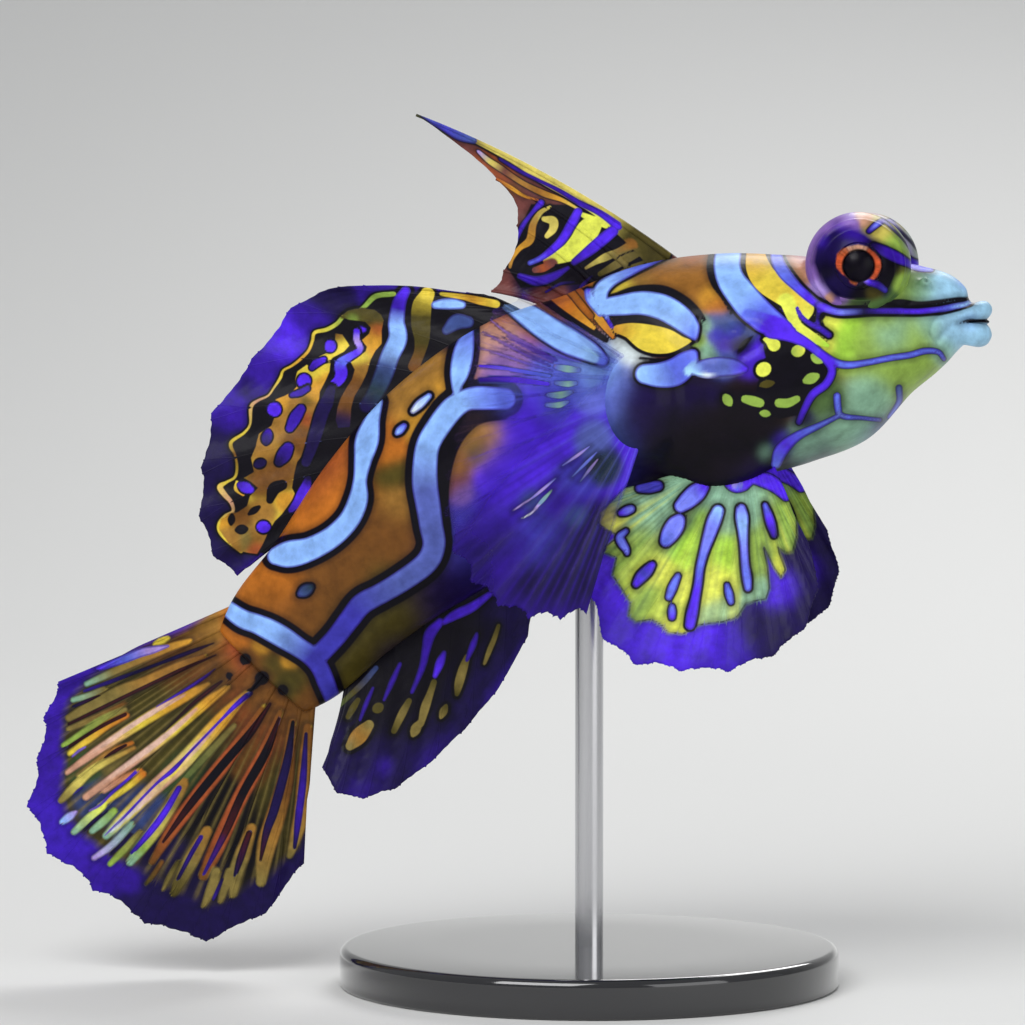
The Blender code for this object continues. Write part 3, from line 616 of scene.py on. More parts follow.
SKIN_DAUBS = (
    (BROWN, (250, 668), 16), (ORANGE, (236, 640), 8), (AMBER, (262, 646), 6), (AMBER, (290, 660), 6),
    (OLIVE, (290, 684), 12), (BROWN, (312, 704), 14), (OLIVE, (270, 664), 8), (ORANGE, (262, 590), 28),
    (BROWN, (300, 616), 24), (BROWN, (330, 570), 24), (BROWN, (262, 604), 18), (RUST, (315, 480), 20),
    (ORANGE, (330, 500), 22), (OLIVE, (390, 620), 36), (OLIVE, (350, 665), 26), (GOLD, (420, 376), 24),
    (AMBER, (444, 392), 12), (AMBER, (424, 424), 12), (ORANGE, (386, 450), 12), (OLIVE, (394, 474), 12),
    (BROWN, (392, 530), 24), (GOLD, (400, 505), 14), (BROWN, (340, 575), 20), (GOLD, (478, 434), 20),
    (OLIVE, (476, 450), 9), (TAN, (456, 464), 11), (MAUVE, (455, 484), 10), (HEATHER, (462, 494), 8),
    (VIOLET, (520, 480), 27), (VIOLET, (540, 420), 30), (INDIGO, (480, 540), 30), (NIGHT, (440, 600), 26),
    (NIGHT, (520, 560), 40), (PEACH, (486, 340), 16), (HEATHER, (506, 362), 14), (RUST, (485, 310), 14),
    (NIGHT, (445, 330), 14), (BLUE, (560, 390), 22), (TAN, (676, 266), 26), (YELLOW, (622, 288), 11),
    (GOLD, (640, 280), 10), (AMBER, (712, 296), 9), (TAN, (698, 280), 12), (ORANGE, (716, 304), 8),
    (RUST, (690, 252), 10), (PEARL, (630, 350), 11), (SKY, (598, 372), 16), (DUSK, (614, 384), 16),
    (DUSK, (606, 412), 14), (SLATE, (606, 432), 18), (TEAL, (612, 450), 22), (NIGHT, (640, 392), 14),
    # The ink and night daubs under the breast, throat and belly, round (600–820, 390–540), are partly the
    # fish's own dark blue and partly painted shade under the body.
    (NIGHT, (630, 430), 14), (INK, (664, 425), 18), (NIGHT, (650, 410), 24), (INK, (700, 440), 46),
    (INK, (700, 415), 20), (INK, (730, 445), 26), (INK, (690, 460), 28), (INK, (770, 452), 14),
    (INK, (650, 470), 26), (NIGHT, (690, 395), 16), (SEA, (705, 325), 6), (LEAF, (699, 341), 6),
    (SEA, (706, 350), 6), (SLATE, (716, 320), 7), (INDIGO, (716, 336), 7), (PURPLE, (724, 346), 8),
    (SLATE, (730, 324), 8), (SLATE, (748, 335), 7), (NIGHT, (737, 345), 7), (INDIGO, (735, 333), 7),
    (SEA, (712, 358), 6), (DUSK, (728, 358), 6), (NIGHT, (744, 345), 8), (VIOLET, (758, 350), 8),
    (BLUE, (722, 366), 9), (VIOLET, (750, 362), 10), (VIOLET, (780, 334), 12), (NIGHT, (712, 394), 10),
    (INK, (740, 404), 18), (INK, (740, 432), 18), (INK, (770, 432), 12), (INK, (758, 416), 14),
    (NIGHT, (806, 420), 8), (AMBER, (804, 266), 12), (LILAC, (818, 292), 8), (LEMON, (832, 321), 10),
    (LEMON, (826, 342), 8), (LIME, (846, 334), 10), (LIME, (850, 320), 8), (LEAF, (862, 344), 20),
    (SEA, (892, 336), 16), (LEAF, (886, 320), 10), (LEAF, (915, 340), 16), (SEA, (930, 326), 12),
    (AQUA, (956, 318), 20), (AQUA, (975, 330), 24), (SKY, (970, 322), 8), (LEAF, (906, 284), 14),
    (OLIVE, (900, 276), 8), (SEA, (922, 288), 12), (AQUA, (948, 286), 18), (BLUE, (966, 278), 8),
    # The heather and lilac daubs round the left and top of the eye, (812–834, 222–297), are a painted
    # highlight on the lit rim of the orbit.
    (YELLOW, (884, 236), 12), (LILAC, (912, 250), 10), (YELLOW, (862, 220), 8), (HEATHER, (830, 222), 22),
    (HEATHER, (812, 260), 14), (LEAF, (900, 366), 22), (SEA, (872, 398), 16), (LIME, (847, 350), 9),
    (HEATHER, (834, 297), 9), (MOSS, (862, 299), 9), (MOSS, (826, 400), 14), (LEAF, (920, 372), 12),
    (SEA, (850, 438), 22), (SEA, (806, 446), 14), (SEA, (767, 452), 7), (VIOLET, (782, 444), 8),
    (SLATE, (884, 430), 10), (SEA, (944, 350), 10), (INDIGO, (600, 470), 30), (NIGHT, (560, 500), 30),
    (NIGHT, (580, 540), 30), (NIGHT, (640, 520), 30), (INK, (700, 500), 30), (NIGHT, (760, 490), 26),
    (VIOLET, (506, 506), 20), (NIGHT, (480, 580), 30), (NIGHT, (400, 660), 20), (NIGHT, (820, 470), 24),
    (SLATE, (870, 450), 16),
)
# Folds and seams of the face: depth in mm, width in steps, and line. A ridge has a depth below 0.
FOLDS = (
    (0.16, 3.0, ((968, 303), (950, 310), (937, 319), (932, 331), (938, 341))),
    (0.14, 3.0, ((971, 319), (957, 324), (946, 332), (940, 341))),
    (0.10, 4.0, ((885, 300), (905, 305), (930, 304), (955, 300), (976, 297))),
    (0.14, 4.0, ((700, 318), (695, 334), (700, 350), (712, 357))),
    (-0.10, 4.0, ((690, 377), (706, 380), (726, 381), (745, 376))),
    (0.12, 4.0, ((742, 356), (758, 346), (764, 334), (752, 324))),
    (0.10, 6.0, ((838, 416), (820, 426), (797, 440), (780, 456))),
    (-0.06, 8.0, ((840, 350), (880, 345), (920, 340))),
)

skin_points = points_of(skin.data)
skin_places = side_plan(skin_points)
flat = np.empty(len(skin_points) * 3, "f")
skin.data.vertices.foreach_get("normal", flat)
skin_normals = flat.reshape(-1, 3)
depth = np.zeros(len(skin_points))
# The folds fade out where the skin turns to face up, down or forward.
on_flank = np.clip(np.abs(skin_normals[:, 1]) * 2 - 0.3, 0, 1)
for deep, width, line in FOLDS:
    gap, _ = stroke_distance(skin_places, line, (0, 0))
    depth += deep * np.exp(-((gap / width) ** 2)) * on_flank
skin_points -= skin_normals * depth[:, None]
skin.data.vertices.foreach_set("co", skin_points.astype("f").ravel())
store_marks(
    skin.data,
    lay_ground(skin_places, ORANGE, SKIN_DAUBS),
    lay_marks(skin_places, FLANK_STROKES + SHOULDER_STROKES + FACE_STROKES + TAIL_BASE_SPOTS),
)
skin.data.transform(Matrix.Scale(MM, 4))
skin.data.shade_smooth()


def set_values(node, values):
    """Sets the node's inputs, by name or number."""
    for socket, value in values.items():
        node.inputs[socket].default_value = value


def add_node(tree, kind, values=None, **settings):
    """A new node in the tree, with its settings and the values of its inputs."""
    node = tree.nodes.new(kind)
    for name, setting in settings.items():
        setattr(node, name, setting)
    set_values(node, values or {})
    return node


def link(tree, *links):
    """Joins nodes. Each link is a node, its output, the next node, and its input."""
    for start, output, stop, socket in links:
        tree.links.new(start.outputs[output], stop.inputs[socket])


def add_sockets(tree, way, kind, names):
    """Gives a group sockets of one kind, on its way in or out."""
    for name in names:
        tree.interface.new_socket(name, in_out=way, socket_type="NodeSocket" + kind)


def make_marking_group():
    """A shader group that lays ink, yellow and blue marks with crisp edges over the ground."""
    tree = bpy.data.node_groups.new("Painted markings", "ShaderNodeTree")
    add_sockets(tree, "INPUT", "Color", ("Ground", "Spot Paint", "Band Paint", "Ink Paint"))
    add_sockets(tree, "INPUT", "Float", ("Ink Edge", "Spot Edge", "Band Edge"))
    add_sockets(tree, "OUTPUT", "Color", ("Color",))
    add_sockets(tree, "OUTPUT", "Float", ("Relief",))
    takes, gives = tree.nodes.new("NodeGroupInput"), tree.nodes.new("NodeGroupOutput")
    ground, spot_paint, band_paint, ink_paint = list(takes.outputs)[:4]

    def ramp(edge, start, stop, low, high):
        """A value that runs from low to high while the edge distance runs from start to stop."""
        ends = {"From Min": start, "From Max": stop, "To Min": low, "To Max": high}
        node = add_node(tree, "ShaderNodeMapRange", ends, interpolation_type="SMOOTHSTEP")
        link(tree, (takes, edge, node, "Value"))
        return node.outputs["Result"]

    def mix(factor, under, over):
        """One colour laid over another by a factor."""
        node = add_node(tree, "ShaderNodeMix", data_type="RGBA")
        factor_slot, under_slot, over_slot, colour_out = 0, 6, 7, 2
        for value, slot in ((factor, factor_slot), (under, under_slot), (over, over_slot)):
            tree.links.new(value, node.inputs[slot])
        return node.outputs[colour_out]

    ink = ramp("Ink Edge", -0.9, 1.1, 1.0, 0.0)
    haze = ramp("Ink Edge", 0.0, 7.0, 0.42, 0.0)
    spot = ramp("Spot Edge", -0.8, 0.6, 1.0, 0.0)
    band = ramp("Band Edge", -0.8, 0.6, 1.0, 0.0)
    band_rim = ramp("Band Edge", -2.6, -0.6, 0.0, 0.75)
    band_glow = ramp("Band Edge", -9.0, -2.5, 0.0, 0.25)
    colour = mix(haze, ground, ink_paint)
    colour = mix(ink, colour, ink_paint)
    colour = mix(spot, colour, spot_paint)
    parts = add_node(tree, "ShaderNodeSeparateColor")
    lit = add_node(tree, "ShaderNodeVectorMath", {"Scale": 1.6}, operation="SCALE")
    deep = add_node(tree, "ShaderNodeVectorMath", {0: (0.048, 0.019, 0.38)}, operation="SCALE")
    link(
        tree,
        (takes, "Band Paint", parts, "Color"), (takes, "Band Paint", lit, 0), (parts, "Blue", deep, "Scale"),
    )
    blue = mix(band_glow, band_paint, lit.outputs[0])
    blue = mix(band_rim, blue, deep.outputs[0])
    tree.links.new(mix(band, colour, blue), gives.inputs["Color"])
    raised = add_node(tree, "ShaderNodeMath", operation="MAXIMUM")
    tree.links.new(spot, raised.inputs[0])
    tree.links.new(band, raised.inputs[1])
    link(tree, (raised, 0, gives, "Relief"))
    return tree


MARKINGS = make_marking_group()


def new_material(name, values):
    """A material whose shader has these values."""
    material = bpy.data.materials.new(name)
    material.use_nodes = True
    set_values(material.node_tree.nodes["Principled BSDF"], values)
    return material


def painted_material(name, roughness, coat, mottle, bump, sheen=0.14):
    """A painted and varnished material that reads the marks stored on its mesh."""
    material = new_material(name, {"Coat Weight": coat, "Coat Roughness": 0.12, "Specular IOR Level": sheen})
    tree = material.node_tree
    shader = tree.nodes["Principled BSDF"]
    marks = add_node(tree, "ShaderNodeGroup", node_tree=MARKINGS)
    set_values(marks, {"Ink Paint": (*INK, 1.0)})
    for store, socket, output in (
        ("ground", "Ground", "Color"), ("spot_paint", "Spot Paint", "Color"),
        ("band_paint", "Band Paint", "Color"), ("ink", "Ink Edge", "Fac"),
        ("spot", "Spot Edge", "Fac"), ("band", "Band Edge", "Fac"),
    ):
        link(tree, (add_node(tree, "ShaderNodeAttribute", attribute_name=store), output, marks, socket))
    place = add_node(tree, "ShaderNodeTexCoord")
    grain = add_node(tree, "ShaderNodeTexNoise", {"Scale": mottle, "Detail": 5.0, "Roughness": 0.62})
    spread = add_node(
        tree, "ShaderNodeMapRange", {"From Min": 0.3, "From Max": 0.7, "To Min": 0.72, "To Max": 1.22})
    shade = add_node(tree, "ShaderNodeVectorMath", operation="SCALE")
    gloss = add_node(
        tree, "ShaderNodeMapRange", {"To Min": roughness - 0.06, "To Max": roughness + 0.10})
    fine = add_node(tree, "ShaderNodeTexNoise", {"Scale": mottle * 4, "Detail": 3.0})
    height = add_node(tree, "ShaderNodeMath", {1: 0.5}, operation="MULTIPLY_ADD")
    relief = add_node(tree, "ShaderNodeBump", {"Strength": bump, "Distance": 0.00005})
    link(
        tree,
        (place, "Object", grain, "Vector"), (grain, "Fac", spread, "Value"), (marks, "Color", shade, 0),
        (spread, "Result", shade, "Scale"), (shade, "Vector", shader, "Base Color"),
        (grain, "Fac", gloss, "Value"), (gloss, "Result", shader, "Roughness"),
        (place, "Object", fine, "Vector"), (marks, "Relief", height, 0), (fine, "Fac", height, 2),
        (height, 0, relief, "Height"), (relief, "Normal", shader, "Normal"),
    )
    return material


SKIN_PAINT = painted_material("painted hide", 0.42, 0.09, 900.0, 0.35, 0.11)
skin.data.materials.clear()
skin.data.materials.append(SKIN_PAINT)
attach(skin, "root")
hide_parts("head", "trunk", "tail_stalk")


# ---- The eyes ----
# Each eye is a turret that turns on its own, covered in hide up to a raised lid ring. The model's
# is a painted resin ball with a copper iris and a black pupil, under a clear dome cast over both.

EYE_MIDDLE, EYE_RADIUS, GAZE = (17.4, 3.9, 46.1), 3.3, (0.08, 0.99, -0.02)
EYE_SIDES = 144
CORNEA_OUT, CORNEA_RADIUS = 1.75, 1.75
# The pupil's half width in mm, the width of its soft edge, and the half width kept clear of marks.
PUPIL_HALF, PUPIL_SOFT, PUPIL_CLEAR = 1.02, 0.04, 0.95
# The width, in steps, over which the dome and the iris fade into what is round them.
DOME_FADE, IRIS_FADE = 7, 1.6
# How far out along the gaze, in mm, the front of the eye starts, its paler back stops, and the
# length over which that fades. The paler back, of heather and pearl, is a painted highlight along
# the lit lid rim.
FRONT_FROM, LID_TO, LID_FADE = 1.0, 0.2, 1.5
LID_HIGHLIGHT_PAINT = 0.6 * HEATHER + 0.4 * PEARL
CORAL = paint(224, 96, 52)
EYE_STROKES = (
    ("band", (PURPLE, PERI, PURPLE), 1, (5, 6, 5), ((869, 231), (876, 225), (884, 220))),
    ("band", (PURPLE, NIGHT, NIGHT, PURPLE), 0, (4, 3, 2, 2, 3), (
        (885, 221), (895, 231), (905, 242), (914, 256), (922, 265))),
    ("band", (NIGHT, PURPLE, PURPLE, DEEP, VIOLET, LILAC), 1, (8, 11, 11, 8, 7, 6), (
        (874, 246), (886, 252), (898, 258), (908, 263), (919, 268), (932, 268))),
    ("band", (LILAC, VIOLET, PURPLE, INDIGO), 0, (4, 6, 8, 7, 6), (
        (861, 277), (869, 282), (878, 285), (885, 290))),
)
# The heather, lilac, pink, peach and pearl daubs round the rim and top of the ball are a painted highlight on
# the lit lid rim; the straw, leaf, moss and olive ones are the eye's yellow-green patch.
EYE_DAUBS = (
    (HEATHER, (812, 245), 14), (HEATHER, (818, 228), 13), (HEATHER, (836, 217), 12), (LILAC, (846, 213), 6),
    (PINK, (860, 213), 4), (PEACH, (867, 221), 4), (STRAW, (882, 231), 9), (LEAF, (893, 243), 9),
    (LEAF, (902, 256), 8), (PEARL, (912, 244), 5), (PEARL, (905, 234), 4), (PEARL, (915, 256), 5),
    (HEATHER, (813, 270), 9), (LILAC, (819, 287), 6), (PEACH, (830, 298), 3), (HEATHER, (842, 303), 6),
    (PEACH, (852, 305), 3),
    (MOSS, (868, 303), 8), (MOSS, (890, 300), 7), (LEAF, (904, 282), 8), (OLIVE, (899, 268), 6),
    (PURPLE, (838, 228), 6), (NIGHT, (896, 262), 4),
)
DOME_OUTLINE = (
    (812, 262), (815, 246), (822, 235), (834, 229), (850, 227), (866, 233), (880, 243), (896, 252),
    (902, 262), (898, 274), (893, 286), (886, 296), (872, 300), (850, 301), (834, 298), (820, 283),
)
# The peach daubs at the top of the iris, at (853, 247) and (862, 247), are a painted highlight along its
# upper edge.
IRIS_DAUBS = (
    (CORAL, (840, 263), 7), (CORAL, (845, 273), 5), (RUST, (841, 252), 5), (PEACH, (853, 247), 4),
    (PEACH, (862, 247), 4), (CORAL, (872, 253), 4), (CORAL, (879, 264), 6), (PEACH, (857, 277), 3),
    (CORAL, (870, 279), 5), (RUST, (854, 283), 3),
)
IRIS_OUTLINE = (
    (836, 263), (837, 254), (842, 249), (848, 247), (858, 245), (867, 247), (874, 252), (880, 260),
    (881, 267), (877, 276), (872, 281), (864, 279), (859, 280), (856, 285), (851, 283), (849, 278),
    (842, 273), (837, 268),
)


def turned(middle, way, profile, sides):
    """A closed object turned about a line, from rows of distance along the line and half width."""
    way = np.asarray(way, float) / np.linalg.norm(way)
    any_other_way = (0.0, 0.31, 0.95)
    across = np.cross(way, any_other_way)
    across /= np.linalg.norm(across)
    up = np.cross(way, across)
    turns = np.arange(sides) * math.tau / sides
    circle = np.cos(turns)[:, None] * across + np.sin(turns)[:, None] * up
    return tube("form", np.array([np.array(middle) + way * out + circle * half for out, half in profile]))


def arc(out, half, radius, start, stop, count):
    """Rows on an arc round a point of a profile, from one angle off the line to another, in degrees."""
    angles = np.radians(np.linspace(start, stop, count))
    return np.stack([out + radius * np.cos(angles), half + radius * np.sin(angles)], 1)


EYE_PROFILE = np.concatenate([
    arc(0, 0, EYE_RADIUS, 179.5, 62, 56),
    arc(1.62, 2.50, 0.46, 60, -6, 14),
    arc(0, 0, 3.06, 47.5, 28.6, 16),
    ((2.63, 1.44), (2.62, 1.40), (2.63, 1.36), (2.66, 1.32), (2.69, 1.27), (2.71, 1.20), (2.71, 1.13),
     (2.70, 1.06), (2.66, 0.99), (2.59, 0.93), (2.54, 0.90)),
    arc(1.55, 0, 1.34, 40, 0.4, 20),
])
EYE_FINISH = painted_material("wet eye", 0.30, 0.05, 700.0, 0.06, 0.07)
CLEAR = new_material("clear dome", {
    "Base Color": (1.0, 1.0, 1.0, 1.0), "Roughness": 0.02, "IOR": 1.1, "Transmission Weight": 1.0})
for side, name in ((RIGHT, "right"), (LEFT, "left")):
    way = np.array(sided(GAZE, side)) / np.linalg.norm(GAZE)
    middle = np.array(sided(EYE_MIDDLE, side))
    eye = turned(middle, way, EYE_PROFILE, EYE_SIDES)
    eye.name = "eyeball_" + name
    eye_points = points_of(eye.data)
    places = side_plan(eye_points)
    out = (eye_points - middle) @ way
    half = np.linalg.norm(eye_points - middle - out[:, None] * way, axis=1)
    front = out > FRONT_FROM
    layers = lay_marks(places, EYE_STROKES)
    ground = lay_ground(places, NIGHT, EYE_DAUBS)
    dome = patch_distance(places, DOME_OUTLINE)
    inner = lay_ground(places, NIGHT, (
        (PURPLE, (852, 230), 10), (PURPLE, (822, 240), 6), (NIGHT, (838, 250), 20), (INK, (828, 268), 8),
        (NIGHT, (840, 288), 10), (INK, (858, 296), 8), (INK, (888, 270), 8), (OLIVE, (872, 294), 5)))
    ground = blend_paint(ground, inner, np.where(front, 0.5 - dome / DOME_FADE, 0))
    ground = blend_paint(ground, LID_HIGHLIGHT_PAINT, np.where(out < LID_TO, (LID_TO - out) / LID_FADE, 0))
    draw = np.random.default_rng(29)
    fibres = np.tile(draw.uniform(0.55, 1.15, EYE_SIDES), len(EYE_PROFILE))
    fibres = np.concatenate([fibres, (1.0, 1.0)])[:, None]
    iris = lay_ground(places, RUST, IRIS_DAUBS) * fibres
    iris_edge = patch_distance(places, IRIS_OUTLINE)
    ground = blend_paint(ground, iris, np.where(front, 0.5 - iris_edge / IRIS_FADE, 0))
    ground = blend_paint(ground, INK, np.where(front, (PUPIL_HALF - half) / PUPIL_SOFT, 0))
    for layer in ("ink", "band"):
        layers[layer][0] = np.where(front & (half < PUPIL_CLEAR), FAR, layers[layer][0])
    store_marks(eye.data, ground, layers)
    eye.data.transform(Matrix.Scale(MM, 4))
    eye.data.shade_smooth()
    eye.data.materials.append(EYE_FINISH)
    cap = np.concatenate([((2.35, 0.02), (2.35, 1.42)), arc(CORNEA_OUT, 0, CORNEA_RADIUS, 60, 0.4, 44)])
    cornea = turned(middle, way, cap, EYE_SIDES)
    cornea.name = "cornea_" + name
    cornea.data.transform(Matrix.Scale(MM, 4))
    cornea.data.shade_smooth()
    cornea.data.materials.append(CLEAR)
    for piece in (eye, cornea):
        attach(piece, "root")
        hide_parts("eye_" + name)


# ---- The first dorsal fin ----
# Four spines on the nape, joined by a web that runs down behind the last to the back. The male's
# first spine ends in a long filament. In the model they are wires in a thin cast and painted film.

# How deep a web runs into the flesh and its half thickness at root and hem, in mm.
SINK, WEB_ROOT, WEB_MARGIN = 0.9, 0.15, 0.045
RAY_SIDES = 8
# Points along a ray as long as the fin, and how far a ray may pass the hem, as shares of its length.
RAY_POINTS, RAY_PAST_HEM, BRANCH_PAST_HEM = 40, 0.004, 0.003


def smooth_rows(rows, at):
    """The rows read at fractional row numbers, on a smooth curve through them."""
    rows = np.asarray(rows, float)
    ends = with_ends(rows)
    before = np.clip(np.floor(at).astype(int), 0, len(rows) - 2)
    return smooth_between(*(ends[before + shift] for shift in range(4)), (at - before)[..., None])


def fan_point(fan, across, along):
    """A point on a fin. Across counts its rays and along runs from the root, 0, to the tip, 1."""
    roots, tips, bow = fan
    root, tip = smooth_rows(roots, across), smooth_rows(tips, across)
    reach = np.linalg.norm(tip - root, axis=-1, keepdims=True)
    longest = np.linalg.norm(np.asarray(tips, float) - np.asarray(roots, float), axis=1).max()
    middle = (root + tip) / 2 + np.array(bow) * reach / longest
    along = along[..., None]
    return (1 - along) ** 2 * root + 2 * along * (1 - along) * middle + along**2 * tip


def fan_normal(fan, across, along):
    """The unit normal of a fin at each point."""
    shift = 0.02
    sideways = fan_point(fan, across + shift, along) - fan_point(fan, across - shift, along)
    outward = fan_point(fan, across, along + shift) - fan_point(fan, across, along - shift)
    normal = np.cross(sideways, outward)
    return normal / np.linalg.norm(normal, axis=-1, keepdims=True)


def margin_at(across, notch, fringe, seed):
    """How far along the web reaches: scalloped between the rays, with a slightly ragged hem."""
    draw = np.random.default_rng(seed)
    reach = 1 + 1.4 * fringe - notch * np.abs(np.sin(math.pi * across)) ** 0.8
    for waves in (5.3, 9.1, 17.7, 31.3):
        reach -= fringe * 0.3 * (1 + np.sin(waves * across + draw.uniform(0, math.tau)))
    return reach


def billow(across, along, depth):
    """How far the web stands out of the plane of its rays, in mm."""
    between = np.sin(math.pi * across) ** 2
    folds = 0.07 * np.sin(along * 38 + across * 5) + 0.04 * np.sin(along * 71 - across * 9)
    return depth * between * np.clip(along, 0, 1) ** 0.5 * (1 + folds)


def branches(ray, last, forks, spreads, hem):
    """The path of a ray and its branches, as rows of across and along, split at each fork."""
    paths = [np.array([[ray, -0.03], [ray, forks[0] if forks else hem]])]
    heads = [ray]
    for level, spread in enumerate(spreads):
        stop = forks[level + 1] if level + 1 < len(forks) else hem
        after = []
        for head in heads:
            for way in (-1, 1):
                end = head + way * spread
                if not 0 <= end <= last:
                    continue
                paths.append(np.array([[head, forks[level]], [end, stop]]))
                after.append(end)
        heads = after
    return paths


def make_ray_tree():
    """Geometry nodes that sweep a round rod along each loose edge path and join the rods to the web."""
    tree = bpy.data.node_groups.new("Fin rays", "GeometryNodeTree")
    add_sockets(tree, "INPUT", "Geometry", ("Geometry",))
    add_sockets(tree, "OUTPUT", "Geometry", ("Geometry",))
    takes, gives = tree.nodes.new("NodeGroupInput"), tree.nodes.new("NodeGroupOutput")
    on_ray = add_node(tree, "GeometryNodeInputNamedAttribute", {"Name": "ray_half"}, data_type="FLOAT")
    marked = add_node(tree, "FunctionNodeCompare", {"B": 0.0}, operation="GREATER_THAN")
    split = add_node(tree, "GeometryNodeSeparateGeometry")
    to_curve = add_node(tree, "GeometryNodeMeshToCurve")
    ring = add_node(tree, "GeometryNodeCurvePrimitiveCircle", {"Resolution": RAY_SIDES, "Radius": 1.0})
    sweep = add_node(tree, "GeometryNodeCurveToMesh", {"Fill Caps": True})
    both = add_node(tree, "GeometryNodeJoinGeometry")
    smooth = add_node(tree, "GeometryNodeSetShadeSmooth")
    link(
        tree,
        (takes, "Geometry", split, "Geometry"), (on_ray, "Attribute", marked, "A"),
        (marked, "Result", split, "Selection"), (split, "Selection", to_curve, "Mesh"),
        (on_ray, "Attribute", sweep, "Scale"), (to_curve, "Curve", sweep, "Curve"),
        (ring, "Curve", sweep, "Profile Curve"), (sweep, "Mesh", both, "Geometry"),
        (split, "Inverted", both, "Geometry"), (both, "Geometry", smooth, "Geometry"),
        (smooth, "Geometry", gives, "Geometry"),
    )
    return tree


RAY_TREE = make_ray_tree()
FIN_PAINT = painted_material("painted fin film", 0.50, 0.04, 1400.0, 0.25)


def make_fin(name, fan, cells, rows, notch, fringe, belly, rods, forks, spreads, seed, finish):
    """A thin web with a wavy hem, with a rod of two half widths along each ray and its branches."""
    last = len(fan[0]) - 1
    across, step = np.meshgrid(np.linspace(0, last, last * cells + 1), np.linspace(0, 1, rows + 1))
    root_to_tip = fan_point(fan, across, across * 0 + 1) - fan_point(fan, across, across * 0)
    length = np.linalg.norm(root_to_tip, axis=-1)
    start = -SINK / length
    along = start + (margin_at(across, notch, fringe, seed) - start) * step
    middle = fan_point(fan, across, along)
    normal = fan_normal(fan, across, along)
    thin_at_sides = np.clip(np.minimum(across, last - across) * 9, 0.15, 1) ** 0.5
    thin_at_hem = np.clip((1.02 - step) * 20, 0.2, 1) ** 0.5
    half = (WEB_ROOT + (WEB_MARGIN - WEB_ROOT) * step) * thin_at_sides * thin_at_hem
    out = billow(across, along, belly)
    front = (middle + normal * (out + half)[..., None]).reshape(-1, 3)
    back = (middle + normal * (out - half)[..., None]).reshape(-1, 3)
    wide = last * cells + 1
    total = (rows + 1) * wide
    quads = grid_faces(rows + 1, wide, False)
    numbers = np.arange(total).reshape(rows + 1, wide)
    hem = np.concatenate([numbers[0, :-1], numbers[:-1, -1], numbers[-1, :0:-1], numbers[:0:-1, 0]])
    onward = np.roll(hem, -1)
    rim = np.stack([hem, hem + total, onward + total, onward], 1)
    points = [front, back]
    stores = [np.stack([across.ravel(), along.ravel(), along.ravel() * 0], 1)] * 2
    edges = []
    made = 2 * total
    for ray in range(last + 1):
        hem_here = margin_at(np.array([float(ray)]), notch, fringe, seed)[0] + RAY_PAST_HEM
        for path in branches(ray, last, forks, spreads, hem_here):
            count = max(4, int(abs(path[1, 1] - path[0, 1]) * RAY_POINTS))
            part = np.linspace(0, 1, count)
            ease = part * part * (3 - 2 * part)
            s = path[0, 0] + (path[1, 0] - path[0, 0]) * ease
            t = path[0, 1] + (path[1, 1] - path[0, 1]) * part
            t = np.minimum(t, margin_at(s, notch, fringe, seed) + BRANCH_PAST_HEM)
            place = fan_point(fan, s, t) + fan_normal(fan, s, t) * billow(s, t, belly)[:, None]
            thick = rods[0] + (rods[1] - rods[0]) * np.clip(t, 0, 1) ** 0.8
            points.append(place)
            stores.append(np.stack([s, t, thick], 1))
            edges += [(made + here, made + here + 1) for here in range(count - 1)]
            made += count
    faces = np.concatenate([quads, quads[:, ::-1] + total, rim])
    fin = new_object(name, np.concatenate(points), faces.tolist(), edges)
    stores = np.concatenate(stores)
    for column, store in enumerate(("across", "along", "ray_half")):
        set_value(fin.data, store, stores[:, column])
    fin.modifiers.new("rays", "NODES").node_group = RAY_TREE
    settle(fin)
    fin.data.materials.clear()
    fin.data.materials.append(finish)
    return fin


def finish_fin(fin, node):
    """Brings the fin to metres, and makes it stand for its node."""
    for name in ("across", "along", "ray_half"):
        fin.data.attributes.remove(fin.data.attributes[name])
    fin.data.transform(Matrix.Scale(MM, 4))
    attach(fin, "root")
    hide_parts(node)


